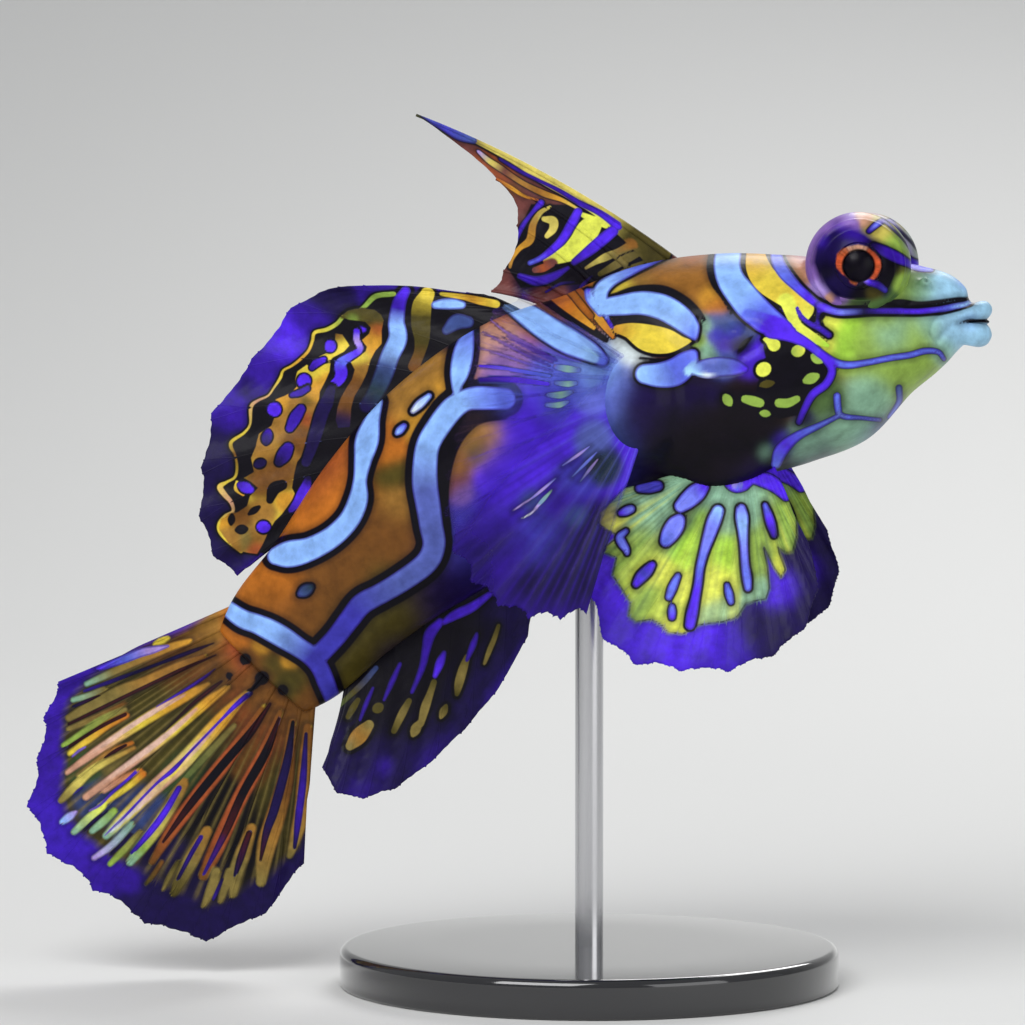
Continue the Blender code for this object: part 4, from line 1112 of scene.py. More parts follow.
FIRST_DORSAL_ROOTS = (35.2, 33.0, 31.1, 29.4, 27.4)
FIRST_DORSAL_TIPS = (
    (-11.1, 0, 55.6), (-5.9, -0.3, 51.5), (-4.6, -0.4, 48.6), (-5.5, -0.2, 45.7), (-6.3, -0.1, 44.4))
FIRST_DORSAL_STROKES = (
    ("spot", (OLIVE, OLIVE, STRAW, STRAW, STRAW, STRAW, STRAW, KHAKI), 2, (30, 19, 16, 15, 15, 14, 12, 8), (
        (656, 252), (630, 233), (602, 211), (575, 194), (545, 177), (520, 160), (495, 147), (474, 138))),
    ("band", (SLATE, INDIGO, SLATE), 1, (8, 13, 12, 9, 5), (
        (474, 140), (460, 134), (446, 126), (432, 119), (420, 112))),
    ("band", (VIOLET, PURPLE, PURPLE, PURPLE), 1, (9, 7, 6, 5, 4, 4, 3), (
        (618, 226), (600, 213), (580, 203), (560, 191), (540, 181), (520, 171), (500, 159))),
    ("spot", (STRAW, AMBER, TAN, GOLD, MAUVE, STRAW, LILAC), 1, (2, 4, 6, 5, 5, 6, 5, 3), (
        (580, 210), (562, 200), (545, 194), (526, 185), (513, 177), (500, 168), (488, 160), (478, 151))),
    ("spot", (RUST, AMBER, RUST), 0, (2, 4, 3, 2), ((496, 178), (510, 187), (524, 196), (538, 200))),
    ("spot", (LEMON, LEMON, LEMON, LEMON, STRAW), 4, (10, 22, 22, 18, 12, 6), (
        (598, 221), (589, 229), (580, 243), (570, 252), (556, 258), (546, 261))),
    ("spot", (LEMON,), 3, (5, 7, 5), ((583, 215), (594, 220), (606, 226))),
    ("band", (VIOLET, VIOLET, VIOLET, BLUE), 2, (9, 10, 9, 8, 6, 5), (
        (578, 212), (571, 225), (562, 240), (552, 250), (541, 258), (530, 263))),
    ("band", (VIOLET, VIOLET, PURPLE), 2, (11, 12, 11, 7), ((613, 231), (602, 240), (590, 250), (574, 262))),
    ("spot", (TAN, KHAKI, STRAW, KHAKI), 1, (9, 7, 8, 5, 3), (
        (630, 246), (618, 252), (606, 257), (596, 262), (586, 268))),
    ("spot", (OLIVE, KHAKI, OLIVE), 0, (5, 8, 9, 5), ((600, 274), (614, 266), (628, 258), (642, 252))),
    ("spot", (KHAKI, OLIVE), 0, (3, 5, 3), ((618, 274), (630, 268), (644, 262))),
    ("spot", (STRAW, GOLD, AMBER, GOLD), 2, (3, 5, 7, 8, 5, 5, 3), (
        (550, 207), (540, 213), (533, 225), (530, 240), (520, 248), (512, 258), (510, 267))),
    ("spot", (STRAW,), 2, (5, 9, 8, 5), ((544, 219), (553, 221), (553, 229), (547, 236))),
    ("band", (VIOLET, PURPLE), 1, (7, 4, 5, 4, 4), (
        (541, 203), (532, 213), (522, 227), (514, 245), (507, 262))),
    ("spot", (MAUVE, RUST, MAUVE), 0, (6, 8, 6), ((535, 270), (543, 268), (552, 264))),
    ("band", (DEEP, PURPLE, DEEP), 0, (6, 10, 9, 4), ((520, 276), (536, 281), (552, 277), (568, 268))),
    ("band", (PURPLE, NIGHT), 0, (2, 3, 2), ((546, 292), (560, 284), (574, 282))),
    ("band", (DEEP, NIGHT), 0, (3, 4, 2), ((578, 296), (582, 286), (592, 276))),
)
first_dorsal = make_fin(
    "first_dorsal_film",
    (body_point(FIRST_DORSAL_ROOTS, 0, -0.3), FIRST_DORSAL_TIPS, (0.8, -0.3, 1.1)),
    cells=44, rows=120, notch=0.03, fringe=0.006, belly=0.18, rods=(0.30, 0.09), forks=(), spreads=(),
    seed=3, finish=FIN_PAINT,
)
places = side_plan(points_of(first_dorsal.data))
layers = lay_marks(places, FIRST_DORSAL_STROKES)
field = patch_distance(places, (
    (530, 202), (575, 203), (618, 222), (636, 240), (660, 254), (600, 285), (520, 290), (505, 268),
    (512, 240)))
layers["ink"][0] = np.minimum(layers["ink"][0], field + 2)
ground = lay_ground(places, MAUVE, (
    (MAUVE, (524, 200), 16), (RUST, (496, 172), 12), (BROWN, (515, 190), 6), (OLIVE, (640, 255), 10),
    (NIGHT, (524, 284), 9), (MAUVE, (552, 290), 12), (MAUVE, (506, 284), 10), (NIGHT, (576, 284), 8),
    (NIGHT, (600, 276), 10), (MAROON, (536, 296), 8), (MOSS, (430, 118), 10), (OLIVE, (420, 112), 8)))
store_marks(first_dorsal.data, ground, layers)
finish_fin(first_dorsal, "first_dorsal_fin")


# ---- The second dorsal fin ----
# Nine soft rays along the hind back, with a broad web that the male spreads to show its bands.
# The film is cast with the rays in it, and painted with wavy bands, ovals and a violet hem.

SECOND_DORSAL_ROOTS = (25.6, 23.9, 21.7, 19.4, 17.0, 14.6, 12.2, 9.7, 7.4)
SECOND_DORSAL_TIPS = (
    (-6.8, 0, 44.2), (-15.7, 0.3, 44.7), (-19.5, 0.8, 43.3), (-22.1, 0.6, 40.0), (-24.6, 0.1, 36.5),
    (-25.2, -0.4, 33.0), (-25.3, -0.6, 29.9), (-24.4, -0.4, 27.3), (-22.9, 0, 26.0),
)
HEM_LINE = (
    (392, 294), (372, 297), (356, 311), (341, 316), (333, 324), (322, 330), (310, 333), (308, 341),
    (305, 351), (298, 359), (289, 366), (280, 371), (277, 378), (271, 388), (266, 396), (256, 401),
    (250, 407), (249, 424), (243, 433), (232, 441), (231, 447), (235, 455), (237, 467), (235, 477),
    (227, 482), (220, 487), (225, 495), (231, 502), (233, 511), (225, 516), (220, 524), (221, 532),
    (230, 542), (241, 551),
)
SPOTTED_BAND = (
    (328, 363), (327, 372), (322, 383), (318, 392), (318, 402), (316, 410), (311, 420), (309, 432),
    (308, 445), (304, 453), (297, 462), (294, 475), (292, 488), (296, 496), (290, 503), (282, 514),
    (275, 521), (268, 532), (262, 545), (257, 554), (248, 553), (239, 551), (231, 545), (225, 536),
    (220, 529), (222, 520), (229, 515), (238, 512), (247, 506), (250, 496), (258, 488), (251, 482),
    (244, 478), (254, 472), (251, 458), (256, 446), (258, 434), (270, 426), (273, 418), (280, 408),
    (273, 400), (283, 396), (290, 392), (294, 387), (292, 380), (294, 372), (304, 365), (311, 371),
    (315, 366),
)
OUTER_STRIPE = (
    (344, 311), (352, 309), (362, 309), (371, 310), (378, 315), (381, 321), (379, 331), (379, 344),
    (373, 351), (369, 360), (366, 372), (360, 385), (354, 396), (351, 408), (350, 427), (338, 428),
    (335, 420), (337, 408), (340, 398), (345, 388), (350, 380), (353, 370), (348, 361), (363, 352),
    (364, 347), (358, 341), (366, 334), (368, 328), (362, 322), (345, 320), (337, 317),
)
SECOND_DORSAL_STROKES = (
    ("spot", (LEAF, LEAF, YELLOW, AMBER, YELLOW, PEACH, YELLOW, BROWN, YELLOW, PEACH, YELLOW, YELLOW), 2,
        (5, 5, 4, 4, 4, 3, 3, 3, 2, 3, 2, 2, 4, 2, 3, 4, 2, 3, 2, 6, 5, 3, 3, 6, 5, 4), HEM_LINE),
    ("spot", ((OLIVE, (355, 314), 10), (LEAF, (350, 319), 4), (OLIVE, (372, 318), 8), (RUST, (374, 331), 6),
        (AMBER, (370, 342), 9), (YELLOW, (358, 357), 6), (GOLD, (361, 370), 7), (BROWN, (353, 384), 9),
        (BROWN, (346, 402), 12), (NIGHT, (342, 422), 10)), 3, (), OUTER_STRIPE),
    ("spot", ((BROWN, (335, 337), 5), (YELLOW, (338, 346), 7), (YELLOW, (325, 357), 6)), 3, (), (
        (331, 334), (338, 335), (346, 346), (341, 352), (330, 358), (327, 362), (316, 357), (329, 351),
        (331, 343))),
    ("spot", (
        (YELLOW, (316, 370), 7), (YELLOW, (300, 370), 5), (AMBER, (322, 380), 6), (AMBER, (311, 392), 7),
        (AMBER, (280, 398), 6), (GOLD, (294, 401), 6), (AMBER, (290, 388), 5), (OLIVE, (306, 401), 5),
        (GOLD, (312, 410), 7), (GOLD, (280, 425), 9), (RUST, (306, 418), 6), (BROWN, (300, 440), 12),
        (GOLD, (262, 448), 8), (BROWN, (280, 470), 10), (BROWN, (262, 480), 9), (GOLD, (294, 456), 5),
        (BROWN, (240, 516), 8), (GOLD, (262, 512), 7), (AMBER, (286, 502), 5), (GOLD, (232, 540), 8),
        (KHAKI, (246, 540), 6), (GOLD, (258, 536), 7), (RUST, (256, 548), 6), (AMBER, (224, 520), 5)), 2, (),
        SPOTTED_BAND),
    ("spot", (YELLOW, AMBER), 2, (3, 4, 4), ((237, 482), (236, 489), (243, 494))),
    ("band", (VIOLET, DEEP, SKY, SKY, SLATE, TEAL, NIGHT), 4, (10, 15, 17, 20, 20, 20, 18, 14), (
        (404, 291), (396, 306), (394, 322), (396, 338), (389, 355), (384, 372), (375, 393), (366, 406))),
    ("spot", (YELLOW, OLIVE, OLIVE, BROWN), 3, (14, 20, 20, 16, 12, 12), (
        (426, 294), (420, 308), (419, 322), (421, 338), (419, 352), (414, 366))),
    ("band", (SKY,), 3, (8, 11, 11, 8), ((434, 305), (443, 304), (453, 304), (461, 305))),
    ("band", (SLATE,), 2, (10, 16, 12), ((446, 330), (456, 322), (468, 322))),
    ("spot", (YELLOW, AMBER, YELLOW), 1, (4, 6, 8, 8), ((440, 294), (462, 297), (480, 301), (496, 304))),
    ("band", (INK,), 0, (11, 13, 8), ((282, 485), (274, 489), (270, 500))),
    ("band", (INK,), 0, (7, 7), ((232, 515), (231, 524))),
    ("band", (INK,), 0, (9, 9), ((237, 530), (246, 529))),
    ("band", (INK,), 0, (6, 7), ((249, 514), (259, 507))),
)
# Violet spots on the yellow bands, each with a black rim: paints, widths and line.
BAND_SPOTS = (
    ((VIOLET,), (5, 5), ((350, 330), (361, 330))),
    ((VIOLET, LILAC, VIOLET, BLUE, VIOLET, VIOLET, VIOLET), (5, 5, 5, 7, 10, 11, 9, 6), (
        (353, 332), (353, 340), (357, 350), (344, 359), (338, 365), (339, 374), (336, 381), (329, 386))),
    ((NIGHT,), (8, 12, 12, 12, 10, 8), (
        (329, 390), (326, 402), (320, 416), (316, 432), (312, 446), (306, 462))),
    ((NIGHT, VIOLET, VIOLET, PURPLE), (5, 8, 9, 8, 4), (
        (308, 479), (306, 486), (302, 494), (298, 502), (291, 510))),
    ((VIOLET,), (8, 9), ((325, 344), (328, 349))),
    ((PURPLE, VIOLET), (4, 6, 4), ((309, 368), (313, 364), (321, 360))),
    ((VIOLET,), (10, 11), ((300, 379), (302, 384))),
    ((PURPLE,), (3, 5, 4), ((290, 395), (298, 393), (305, 389))),
    ((VIOLET,), (10, 11), ((271, 408), (275, 411))),
    ((PURPLE, DEEP, PURPLE), (7, 10, 7), ((300, 409), (294, 418), (289, 428))),
    ((PURPLE, NIGHT), (8, 7), ((267, 432), (266, 443))),
    ((PURPLE, NIGHT), (9, 12, 7), ((288, 448), (284, 455), (279, 462))),
    ((NIGHT,), (6, 6), ((256, 465), (264, 462))),
    ((PURPLE, VIOLET), (8, 8), ((240, 485), (251, 490))),
    ((VIOLET,), (9, 9), ((260, 527), (267, 527))),
)
for shades, widths, line in BAND_SPOTS:
    rim = tuple(width + 5 for width in widths)
    core = tuple(width - 1 for width in widths)
    SECOND_DORSAL_STROKES += (("band", (INK,), 0, rim, line), ("band", shades, 0, core, line))
second_dorsal = make_fin(
    "second_dorsal_film",
    (body_point(SECOND_DORSAL_ROOTS, 0, -0.3), SECOND_DORSAL_TIPS, (0.2, 0.5, 0.7)),
    cells=30, rows=132, notch=0.035, fringe=0.006, belly=0.22, rods=(0.17, 0.06), forks=(0.74,),
    spreads=(0.13,), seed=5, finish=FIN_PAINT,
)
places = side_plan(points_of(second_dorsal.data))
layers = lay_marks(places, SECOND_DORSAL_STROKES, 1.6)
hem_inside = patch_distance(places, HEM_LINE + ((290, 560), (330, 480), (420, 380), (520, 330), (520, 290)))
layers["ink"][0] = np.minimum(layers["ink"][0], hem_inside + 1.5)
ground = lay_ground(places, PURPLE, (
    (NIGHT, (330, 300), 14), (PURPLE, (310, 325), 12), (VIOLET, (285, 345), 14), (PURPLE, (255, 370), 18),
    (NIGHT, (215, 450), 20), (NIGHT, (206, 490), 24), (PURPLE, (228, 415), 12), (NIGHT, (225, 545), 14),
    (PURPLE, (380, 290), 14), (NIGHT, (245, 385), 8)))
store_marks(second_dorsal.data, ground, layers)
finish_fin(second_dorsal, "second_dorsal_fin")


# ---- The anal fin ----
# Eight soft rays under the tail stalk. The film is almost black, with olive and violet dashes in
# line with the rays, and a deep violet hem.

ANAL_ROOTS = (18.8, 16.6, 14.4, 12.1, 9.9, 7.6, 5.4, 3.4)
ANAL_TIPS = (
    (-4.0, 0.3, 22.3), (-5.9, 0.2, 18.9), (-8.0, -0.2, 16.3), (-10.2, -0.8, 14.1),
    (-12.4, -1.4, 12.5), (-14.4, -1.9, 11.9), (-16.0, -2.2, 12.3), (-17.0, -2.1, 13.9),
)
ANAL_STROKES = (
    ("spot", (KHAKI, OLIVE), 2, (3, 5, 5, 4), ((484, 664), (489, 650), (494, 638), (498, 626))),
    ("spot", (OLIVE, KHAKI, OLIVE), 3, (5, 9, 9, 6), ((457, 694), (459, 683), (463, 669), (467, 657))),
    ("spot", (KHAKI, OLIVE), 3, (7, 7), ((441, 717), (446, 706))),
    ("spot", (KHAKI, KHAKI, OLIVE), 3, (6, 9, 7, 6), ((421, 724), (425, 708), (430, 694), (434, 682))),
    ("spot", (KHAKI,), 3, (8, 10), ((413, 735), (418, 724))),
    ("spot", (OLIVE, KHAKI, OLIVE), 3, (6, 8, 6), ((394, 731), (402, 714), (409, 701))),
    ("spot", (OLIVE,), 3, (9, 9), ((375, 710), (381, 706))),
    ("spot", (KHAKI, GOLD, KHAKI), 4, (9, 16, 10), ((350, 746), (359, 736), (369, 725))),
    ("spot", (OLIVE,), 3, (5, 7, 5), ((348, 717), (353, 708), (358, 700))),
    ("spot", (MOSS, OLIVE, SLATE), 1, (4, 5, 6, 5), ((330, 714), (345, 700), (362, 684), (376, 668))),
    ("band", (VIOLET, PURPLE, PURPLE, PURPLE), 3, (8, 12, 9, 7, 4), (
        (440, 622), (430, 634), (426, 650), (422, 668), (412, 692))),
    ("band", (VIOLET,), 2, (6, 10, 10, 6), ((444, 622), (455, 615), (472, 607), (490, 594))),
    ("band", (PURPLE, VIOLET), 3, (5, 9, 5), ((444, 653), (440, 663), (435, 676))),
    ("band", (PURPLE,), 3, (4, 6, 3), ((400, 664), (392, 682), (384, 700))),
    ("band", (PURPLE,), 2, (4, 7, 4), ((477, 634), (473, 645), (467, 660))),
    ("band", (PURPLE,), 2, (3, 5, 3), ((373, 688), (366, 704), (360, 720))),
)


def value_of(mesh, name):
    """A number stored for each point of the mesh."""
    flat = np.empty(len(mesh.vertices), "f")
    mesh.attributes[name].data.foreach_get("value", flat)
    return flat.astype(float)


anal = make_fin(
    "anal_film",
    (body_point(ANAL_ROOTS, 180, -0.3), ANAL_TIPS, (0.7, 0.3, 0)),
    cells=24, rows=100, notch=0.02, fringe=0.006, belly=-0.2, rods=(0.18, 0.07), forks=(0.66,),
    spreads=(0.14,), seed=7, finish=FIN_PAINT,
)
places = side_plan(points_of(anal.data))
layers = lay_marks(places, ANAL_STROKES)
along = value_of(anal.data, "along")
ground = lay_ground(places, NIGHT, (
    (INK, (400, 690), 40), (NIGHT, (360, 770), 30), (NIGHT, (430, 750), 26), (NIGHT, (480, 690), 24),
    (NIGHT, (470, 700), 12), (INK, (440, 650), 26), (PURPLE, (384, 768), 8)))
hem_paint = blend_paint(NIGHT, PURPLE, 0.25 + 0.25 * np.sin(places[:, 0] / 11))
ground = blend_paint(ground, hem_paint, (along - 0.80) * 6)
store_marks(anal.data, ground, layers)
finish_fin(anal, "anal_fin")


# ---- The tail fin ----
# A broad fan of ten branched rays behind the tail stalk. The rays are painted orange and yellow
# with a violet line down each, over a dark film, and fork before the broad violet hem.

TAIL_ROOT_TOP, TAIL_ROOT_FOOT = (-23.9, 0, 23.5), (-18.5, 0, 17.7)
TAIL_TIPS = (
    (-34.8, 0.2, 19.0), (-35.9, 0.7, 16.6), (-36.4, 0.8, 13.9), (-36.9, 0.4, 10.8), (-35.5, -0.1, 7.8),
    (-32.4, -0.3, 5.5), (-29.1, 0, 3.3), (-25.1, 0.5, 2.2), (-21.2, 0.8, 4.1), (-18.7, 0.8, 7.4),
)
tail_fan = (
    np.linspace(np.array(TAIL_ROOT_TOP) + (1.2, 0, 0.6), np.array(TAIL_ROOT_FOOT) + (0.6, 0, 1.2), 10),
    TAIL_TIPS,
    (0, -0.6, 0),
)
TAIL_STROKES = (
    ("spot", (AMBER, GOLD, KHAKI, SEA), 0, (5, 8, 8, 7, 5), (
        (190, 641), (168, 648), (130, 664), (104, 676), (84, 685))),
    ("spot", (YELLOW,), 0, (5, 7), ((154, 644), (168, 638))),
    ("band", (LILAC, LILAC, BLUE, VIOLET), 0, (3, 8, 9, 8, 5), (
        (168, 646), (152, 650), (140, 653), (120, 661), (98, 669))),
    ("spot", (KHAKI, SEA), 0, (6, 6, 5), ((102, 690), (85, 697), (70, 701))),
    ("spot", (BROWN, GOLD, KHAKI, KHAKI), 0, (5, 9, 11, 13, 11, 7), (
        (205, 656), (180, 666), (140, 684), (120, 692), (90, 706), (64, 720))),
    ("spot", (BROWN, KHAKI), 0, (5, 7, 5), ((124, 704), (100, 716), (64, 731))),
    ("spot", (KHAKI, LEAF), 0, (5, 6, 5), ((124, 710), (95, 724), (60, 747))),
    ("spot", (ORANGE, AMBER, YELLOW), 0, (5, 7, 7, 5), ((126, 716), (105, 727), (90, 738), (66, 755))),
    ("spot", (GOLD, AMBER, YELLOW, PEACH, PEACH), 0, (4, 9, 11, 11, 10, 8, 5), (
        (208, 684), (190, 694), (160, 711), (140, 723), (115, 739), (88, 757), (66, 773))),
    # The thin pink line down the middle of this strip is a painted highlight along the ray.
    ("spot", (PEACH, PINK, PINK, PINK, PEACH), 0, (0, 2, 2, 2, 0), (
        (184, 695), (160, 708), (140, 720), (112, 739), (84, 758))),
    ("spot", (ORANGE, KHAKI), 0, (4, 5, 5), ((132, 743), (110, 752), (78, 775))),
    ("spot", (GOLD, STRAW, STRAW, KHAKI), 0, (4, 6, 7, 9, 6), (
        (134, 748), (105, 763), (88, 774), (74, 787), (60, 801))),
    ("spot", (GOLD, AMBER, YELLOW, PEACH, PEACH), 0, (5, 9, 9, 9, 8, 7), (
        (228, 687), (210, 700), (190, 717), (160, 742), (125, 768), (86, 797))),
    # The thin pink line down the middle of this strip is a painted highlight along the ray.
    ("spot", (PEACH, PINK, PINK, PINK, PEACH), 0, (0, 2, 3, 2, 0), (
        (196, 709), (175, 728), (150, 748), (125, 766), (96, 788))),
    ("spot", (ORANGE, PEACH), 0, (5, 6, 5), ((140, 770), (122, 779), (104, 791))),
    ("spot", (ORANGE, YELLOW, YELLOW), 0, (7, 6, 5), ((143, 774), (128, 787), (100, 806))),
    ("spot", (LEMON, SEA), 0, (7, 8, 6), ((103, 806), (88, 819), (74, 832))),
    ("spot", (LEAF, SEA), 0, (7, 8, 6), ((114, 811), (104, 821), (92, 831))),
    ("spot", (LILAC, SKY), 0, (5, 9), ((76, 812), (62, 822))),
    ("spot", (GOLD, AMBER, STRAW, PEACH, STRAW, SEA), 0, (7, 14, 16, 16, 14, 11, 7), (
        (246, 694), (225, 716), (200, 744), (180, 765), (150, 792), (120, 822), (106, 836))),
    # The thin pink and pearl line down the middle of this strip is a painted highlight along the ray.
    ("spot", (PEACH, PINK, YELLOW, PINK, PEARL), 0, (1, 4, 3, 4, 1), (
        (214, 728), (194, 749), (174, 771), (146, 798), (112, 830))),
    ("spot", (KHAKI, MOSS), 0, (5, 7, 5), ((234, 726), (205, 757), (172, 793))),
    ("spot", (GOLD, KHAKI, STRAW, LEAF, SEA), 0, (9, 13, 13, 12, 8), (
        (184, 784), (172, 804), (155, 830), (142, 847), (130, 862))),
    ("spot", (SEA, LILAC), 0, (6, 7, 5), ((132, 824), (112, 845), (94, 858))),
    ("spot", (KHAKI, LEAF), 0, (5, 7, 5), ((140, 832), (124, 850), (110, 864))),
    ("spot", (BROWN, RUST, RUST, RUST, BROWN), 0, (6, 12, 15, 15, 12, 6), (
        (264, 706), (240, 742), (220, 768), (200, 793), (172, 830), (152, 862))),
    ("spot", (BROWN, OLIVE), 0, (4, 5, 3), ((162, 862), (154, 874), (146, 884))),
    ("spot", (GOLD, KHAKI, OLIVE), 0, (10, 15, 14, 8), ((207, 831), (195, 853), (184, 873), (174, 893))),
    ("spot", (OLIVE, KHAKI), 0, (4, 5, 3), ((178, 862), (170, 876), (163, 890))),
    ("spot", (BROWN, RUST, RUST, BROWN), 0, (6, 14, 15, 15, 10), (
        (280, 712), (264, 754), (240, 798), (218, 845), (203, 876))),
    ("spot", (GOLD, KHAKI, KHAKI), 0, (9, 14, 13, 7), ((251, 828), (242, 854), (235, 873), (231, 896))),
    ("spot", (KHAKI,), 0, (9, 10, 5), ((216, 872), (211, 888), (202, 907))),
    ("spot", (KHAKI,), 0, (8, 8, 5), ((229, 872), (224, 888), (219, 902))),
    ("spot", (BROWN, BROWN, GOLD, KHAKI), 0, (8, 15, 19, 18, 10), (
        (292, 722), (286, 775), (275, 815), (264, 850), (258, 884))),
    ("spot", (BROWN, GOLD, KHAKI), 0, (10, 18, 16, 12, 6), (
        (308, 728), (306, 770), (301, 808), (293, 838), (286, 858))),
    ("band", (MAROON, NIGHT, NIGHT, PURPLE), 0, (1, 4, 3, 4, 3), (
        (214, 643), (190, 652), (150, 667), (115, 680), (82, 692))),
    ("band", (MAROON, NIGHT), 0, (2, 4, 3), ((98, 696), (84, 702), (70, 708))),
    ("band", (MAROON,), 0, (1, 4, 4, 4, 3), (
        (216, 655), (185, 668), (155, 682), (105, 706), (64, 726))),
    ("band", (MAROON,), 0, (4, 4, 3), ((124, 715), (100, 727), (62, 750))),
    ("band", (LILAC,), 0, (2, 3, 2), ((83, 748), (76, 752), (69, 758))),
    ("band", (MAROON, VIOLET), 0, (1, 3, 3, 1), ((218, 667), (205, 677), (185, 690), (156, 707))),
    ("band", (MAROON,), 0, (3, 4, 2), ((126, 745), (115, 751), (104, 758))),
    ("band", (PURPLE, SLATE), 0, (3, 2), ((82, 787), (72, 795))),
    ("band", (MAROON,), 0, (2, 4, 3, 1), ((222, 681), (210, 690), (190, 706), (164, 732))),
    ("band", (VIOLET, VIOLET, LILAC), 0, (4, 3, 3, 3, 2), (
        (137, 771), (128, 779), (112, 793), (100, 805), (89, 811))),
    ("band", (NIGHT,), 0, (3, 4, 3), ((107, 811), (95, 820), (84, 830))),
    ("band", (NIGHT, VIOLET, VIOLET, PURPLE, VIOLET, VIOLET, LILAC), 0, (6, 5, 3, 3, 5, 3, 3, 2), (
        (250, 693), (236, 705), (220, 721), (190, 752), (173, 770), (155, 785), (125, 816), (104, 836))),
    ("band", (PURPLE, VIOLET, VIOLET, PURPLE), 0, (6, 7, 7, 4), (
        (179, 788), (165, 812), (150, 832), (132, 853))),
    ("band", (NIGHT,), 0, (3, 4, 3), ((131, 834), (122, 844), (111, 854))),
    ("band", (MAROON, INK, INK, MAROON), 0, (3, 8, 9, 8, 3), (
        (270, 704), (250, 733), (220, 768), (190, 805), (163, 842))),
    ("band", (PURPLE, NIGHT), 0, (5, 5, 4), ((201, 837), (190, 856), (178, 879))),
    ("band", (MAROON, INK, INK, MAROON, PURPLE), 0, (3, 9, 9, 8, 3), (
        (280, 716), (266, 752), (243, 793), (225, 833), (203, 875))),
    ("band", (MAROON, NIGHT), 0, (6, 7, 4), ((249, 833), (240, 858), (234, 876))),
    ("band", (NIGHT, PURPLE), 0, (3, 4, 3), ((222, 879), (217, 890), (212, 900))),
    ("band", (INK, NIGHT, NIGHT, MAROON), 0, (4, 9, 10, 8, 3), (
        (293, 722), (287, 762), (274, 808), (265, 833), (258, 862))),
    ("band", (NIGHT, PURPLE, NIGHT), 0, (4, 8, 8, 4), ((306, 734), (302, 780), (296, 820), (291, 850))),
    ("ink", (), 0, (5, 4), ((250, 691), (263, 680))),
)
TAIL_FIELD = (
    (222, 600), (190, 626), (165, 638), (146, 645), (118, 660), (92, 676), (74, 692), (64, 706), (58, 724),
    (58, 748), (62, 766), (60, 796), (66, 812), (80, 832), (98, 846), (116, 858), (138, 868), (158, 878),
    (172, 890), (190, 896), (206, 906), (222, 902), (236, 894), (250, 882), (264, 880), (280, 862),
    (296, 848), (308, 800), (314, 740), (330, 700), (330, 640), (260, 590),
)
tail = make_fin(
    "tail_film", tail_fan, cells=26, rows=126, notch=0.025, fringe=0.006, belly=0.2, rods=(0.24, 0.06),
    forks=(0.52, 0.78), spreads=(0.19, 0.09), seed=11, finish=FIN_PAINT,
)
places = side_plan(points_of(tail.data))
across, along = value_of(tail.data, "across"), value_of(tail.data, "along")
layers = lay_marks(places, TAIL_BASE_SPOTS + TAIL_STROKES, 2.0)
SOFT_EDGE = 0.45
layers["spot"][0] *= SOFT_EDGE
web = lay_ground(places, OLIVE, (
    (BROWN, (170, 655), 20), (OLIVE, (130, 695), 24), (OLIVE, (150, 750), 16), (KHAKI, (110, 756), 8),
    (SLATE, (140, 815), 14), (MOSS, (180, 775), 12), (SLATE, (96, 800), 10), (INK, (215, 810), 22),
    (INK, (235, 850), 18), (NIGHT, (200, 870), 16), (BROWN, (262, 730), 16), (OLIVE, (285, 800), 14),
    (BROWN, (250, 770), 10), (OLIVE, (310, 800), 14), (MOSS, (84, 770), 8), (NIGHT, (160, 850), 12)))
base = lay_ground(places, RUST, (
    (GOLD, (210, 632), 14), (ORANGE, (232, 622), 8), (GOLD, (180, 640), 14), (RUST, (240, 650), 16),
    (ORANGE, (290, 664), 8), (BROWN, (262, 668), 14), (BROWN, (222, 666), 12), (BROWN, (290, 700), 16),
    (BROWN, (310, 720), 14), (BROWN, (268, 700), 10)))
ground = blend_paint(base, web * 0.7, (along - 0.12) * 5)
fine = np.sin(across * math.tau * 4) * 0.5 + 0.5
ground = blend_paint(ground, KHAKI, 0.55 * fine**4 * np.clip((along - 0.2) * 5, 0, 1))
hem_paint = lay_ground(places, DEEP, (
    (PURPLE, (52, 770), 26), (DEEP, (70, 832), 20), (PURPLE, (108, 864), 18), (NIGHT, (150, 900), 22),
    (NIGHT, (190, 920), 24), (NIGHT, (215, 900), 26), (PURPLE, (132, 884), 8), (PURPLE, (70, 690), 14),
    (NIGHT, (286, 866), 24), (DEEP, (44, 806), 12), (PURPLE, (34, 770), 10), (NIGHT, (250, 912), 20),
    (PURPLE, (100, 668), 12)))
ground = blend_paint(ground, hem_paint, 0.5 + patch_distance(places, TAIL_FIELD) / 9)
store_marks(tail.data, ground, layers)
finish_fin(tail, "tail_fin")


# ---- The pectoral fins ----
# A fan of fourteen rays on each shoulder, of film so thin that the flank shows through it. The film
# is tinted violet and blue, with paler streaks along the rays and pale green bars near the root.

PECTORAL_MIDDLE, PECTORAL_SPREAD = (4.0, 8.1, 37.7), (2.0, 3.3)
PECTORAL_FROM, PECTORAL_TO = 58.0, -86.0
PECTORAL_TIPS = (
    (-2.9, 9.6, 44.5), (-4.7, 10.3, 43.4), (-5.8, 10.9, 41.7), (-6.3, 11.3, 39.7), (-6.6, 11.6, 37.6),
    (-7.0, 11.9, 35.4), (-7.4, 12.2, 33.1), (-7.5, 12.4, 30.8), (-7.0, 12.4, 28.5), (-5.8, 12.3, 26.5),
    (-4.2, 12.1, 25.0), (-2.3, 11.7, 24.3), (-0.4, 11.3, 24.2), (1.2, 10.9, 24.6),
)
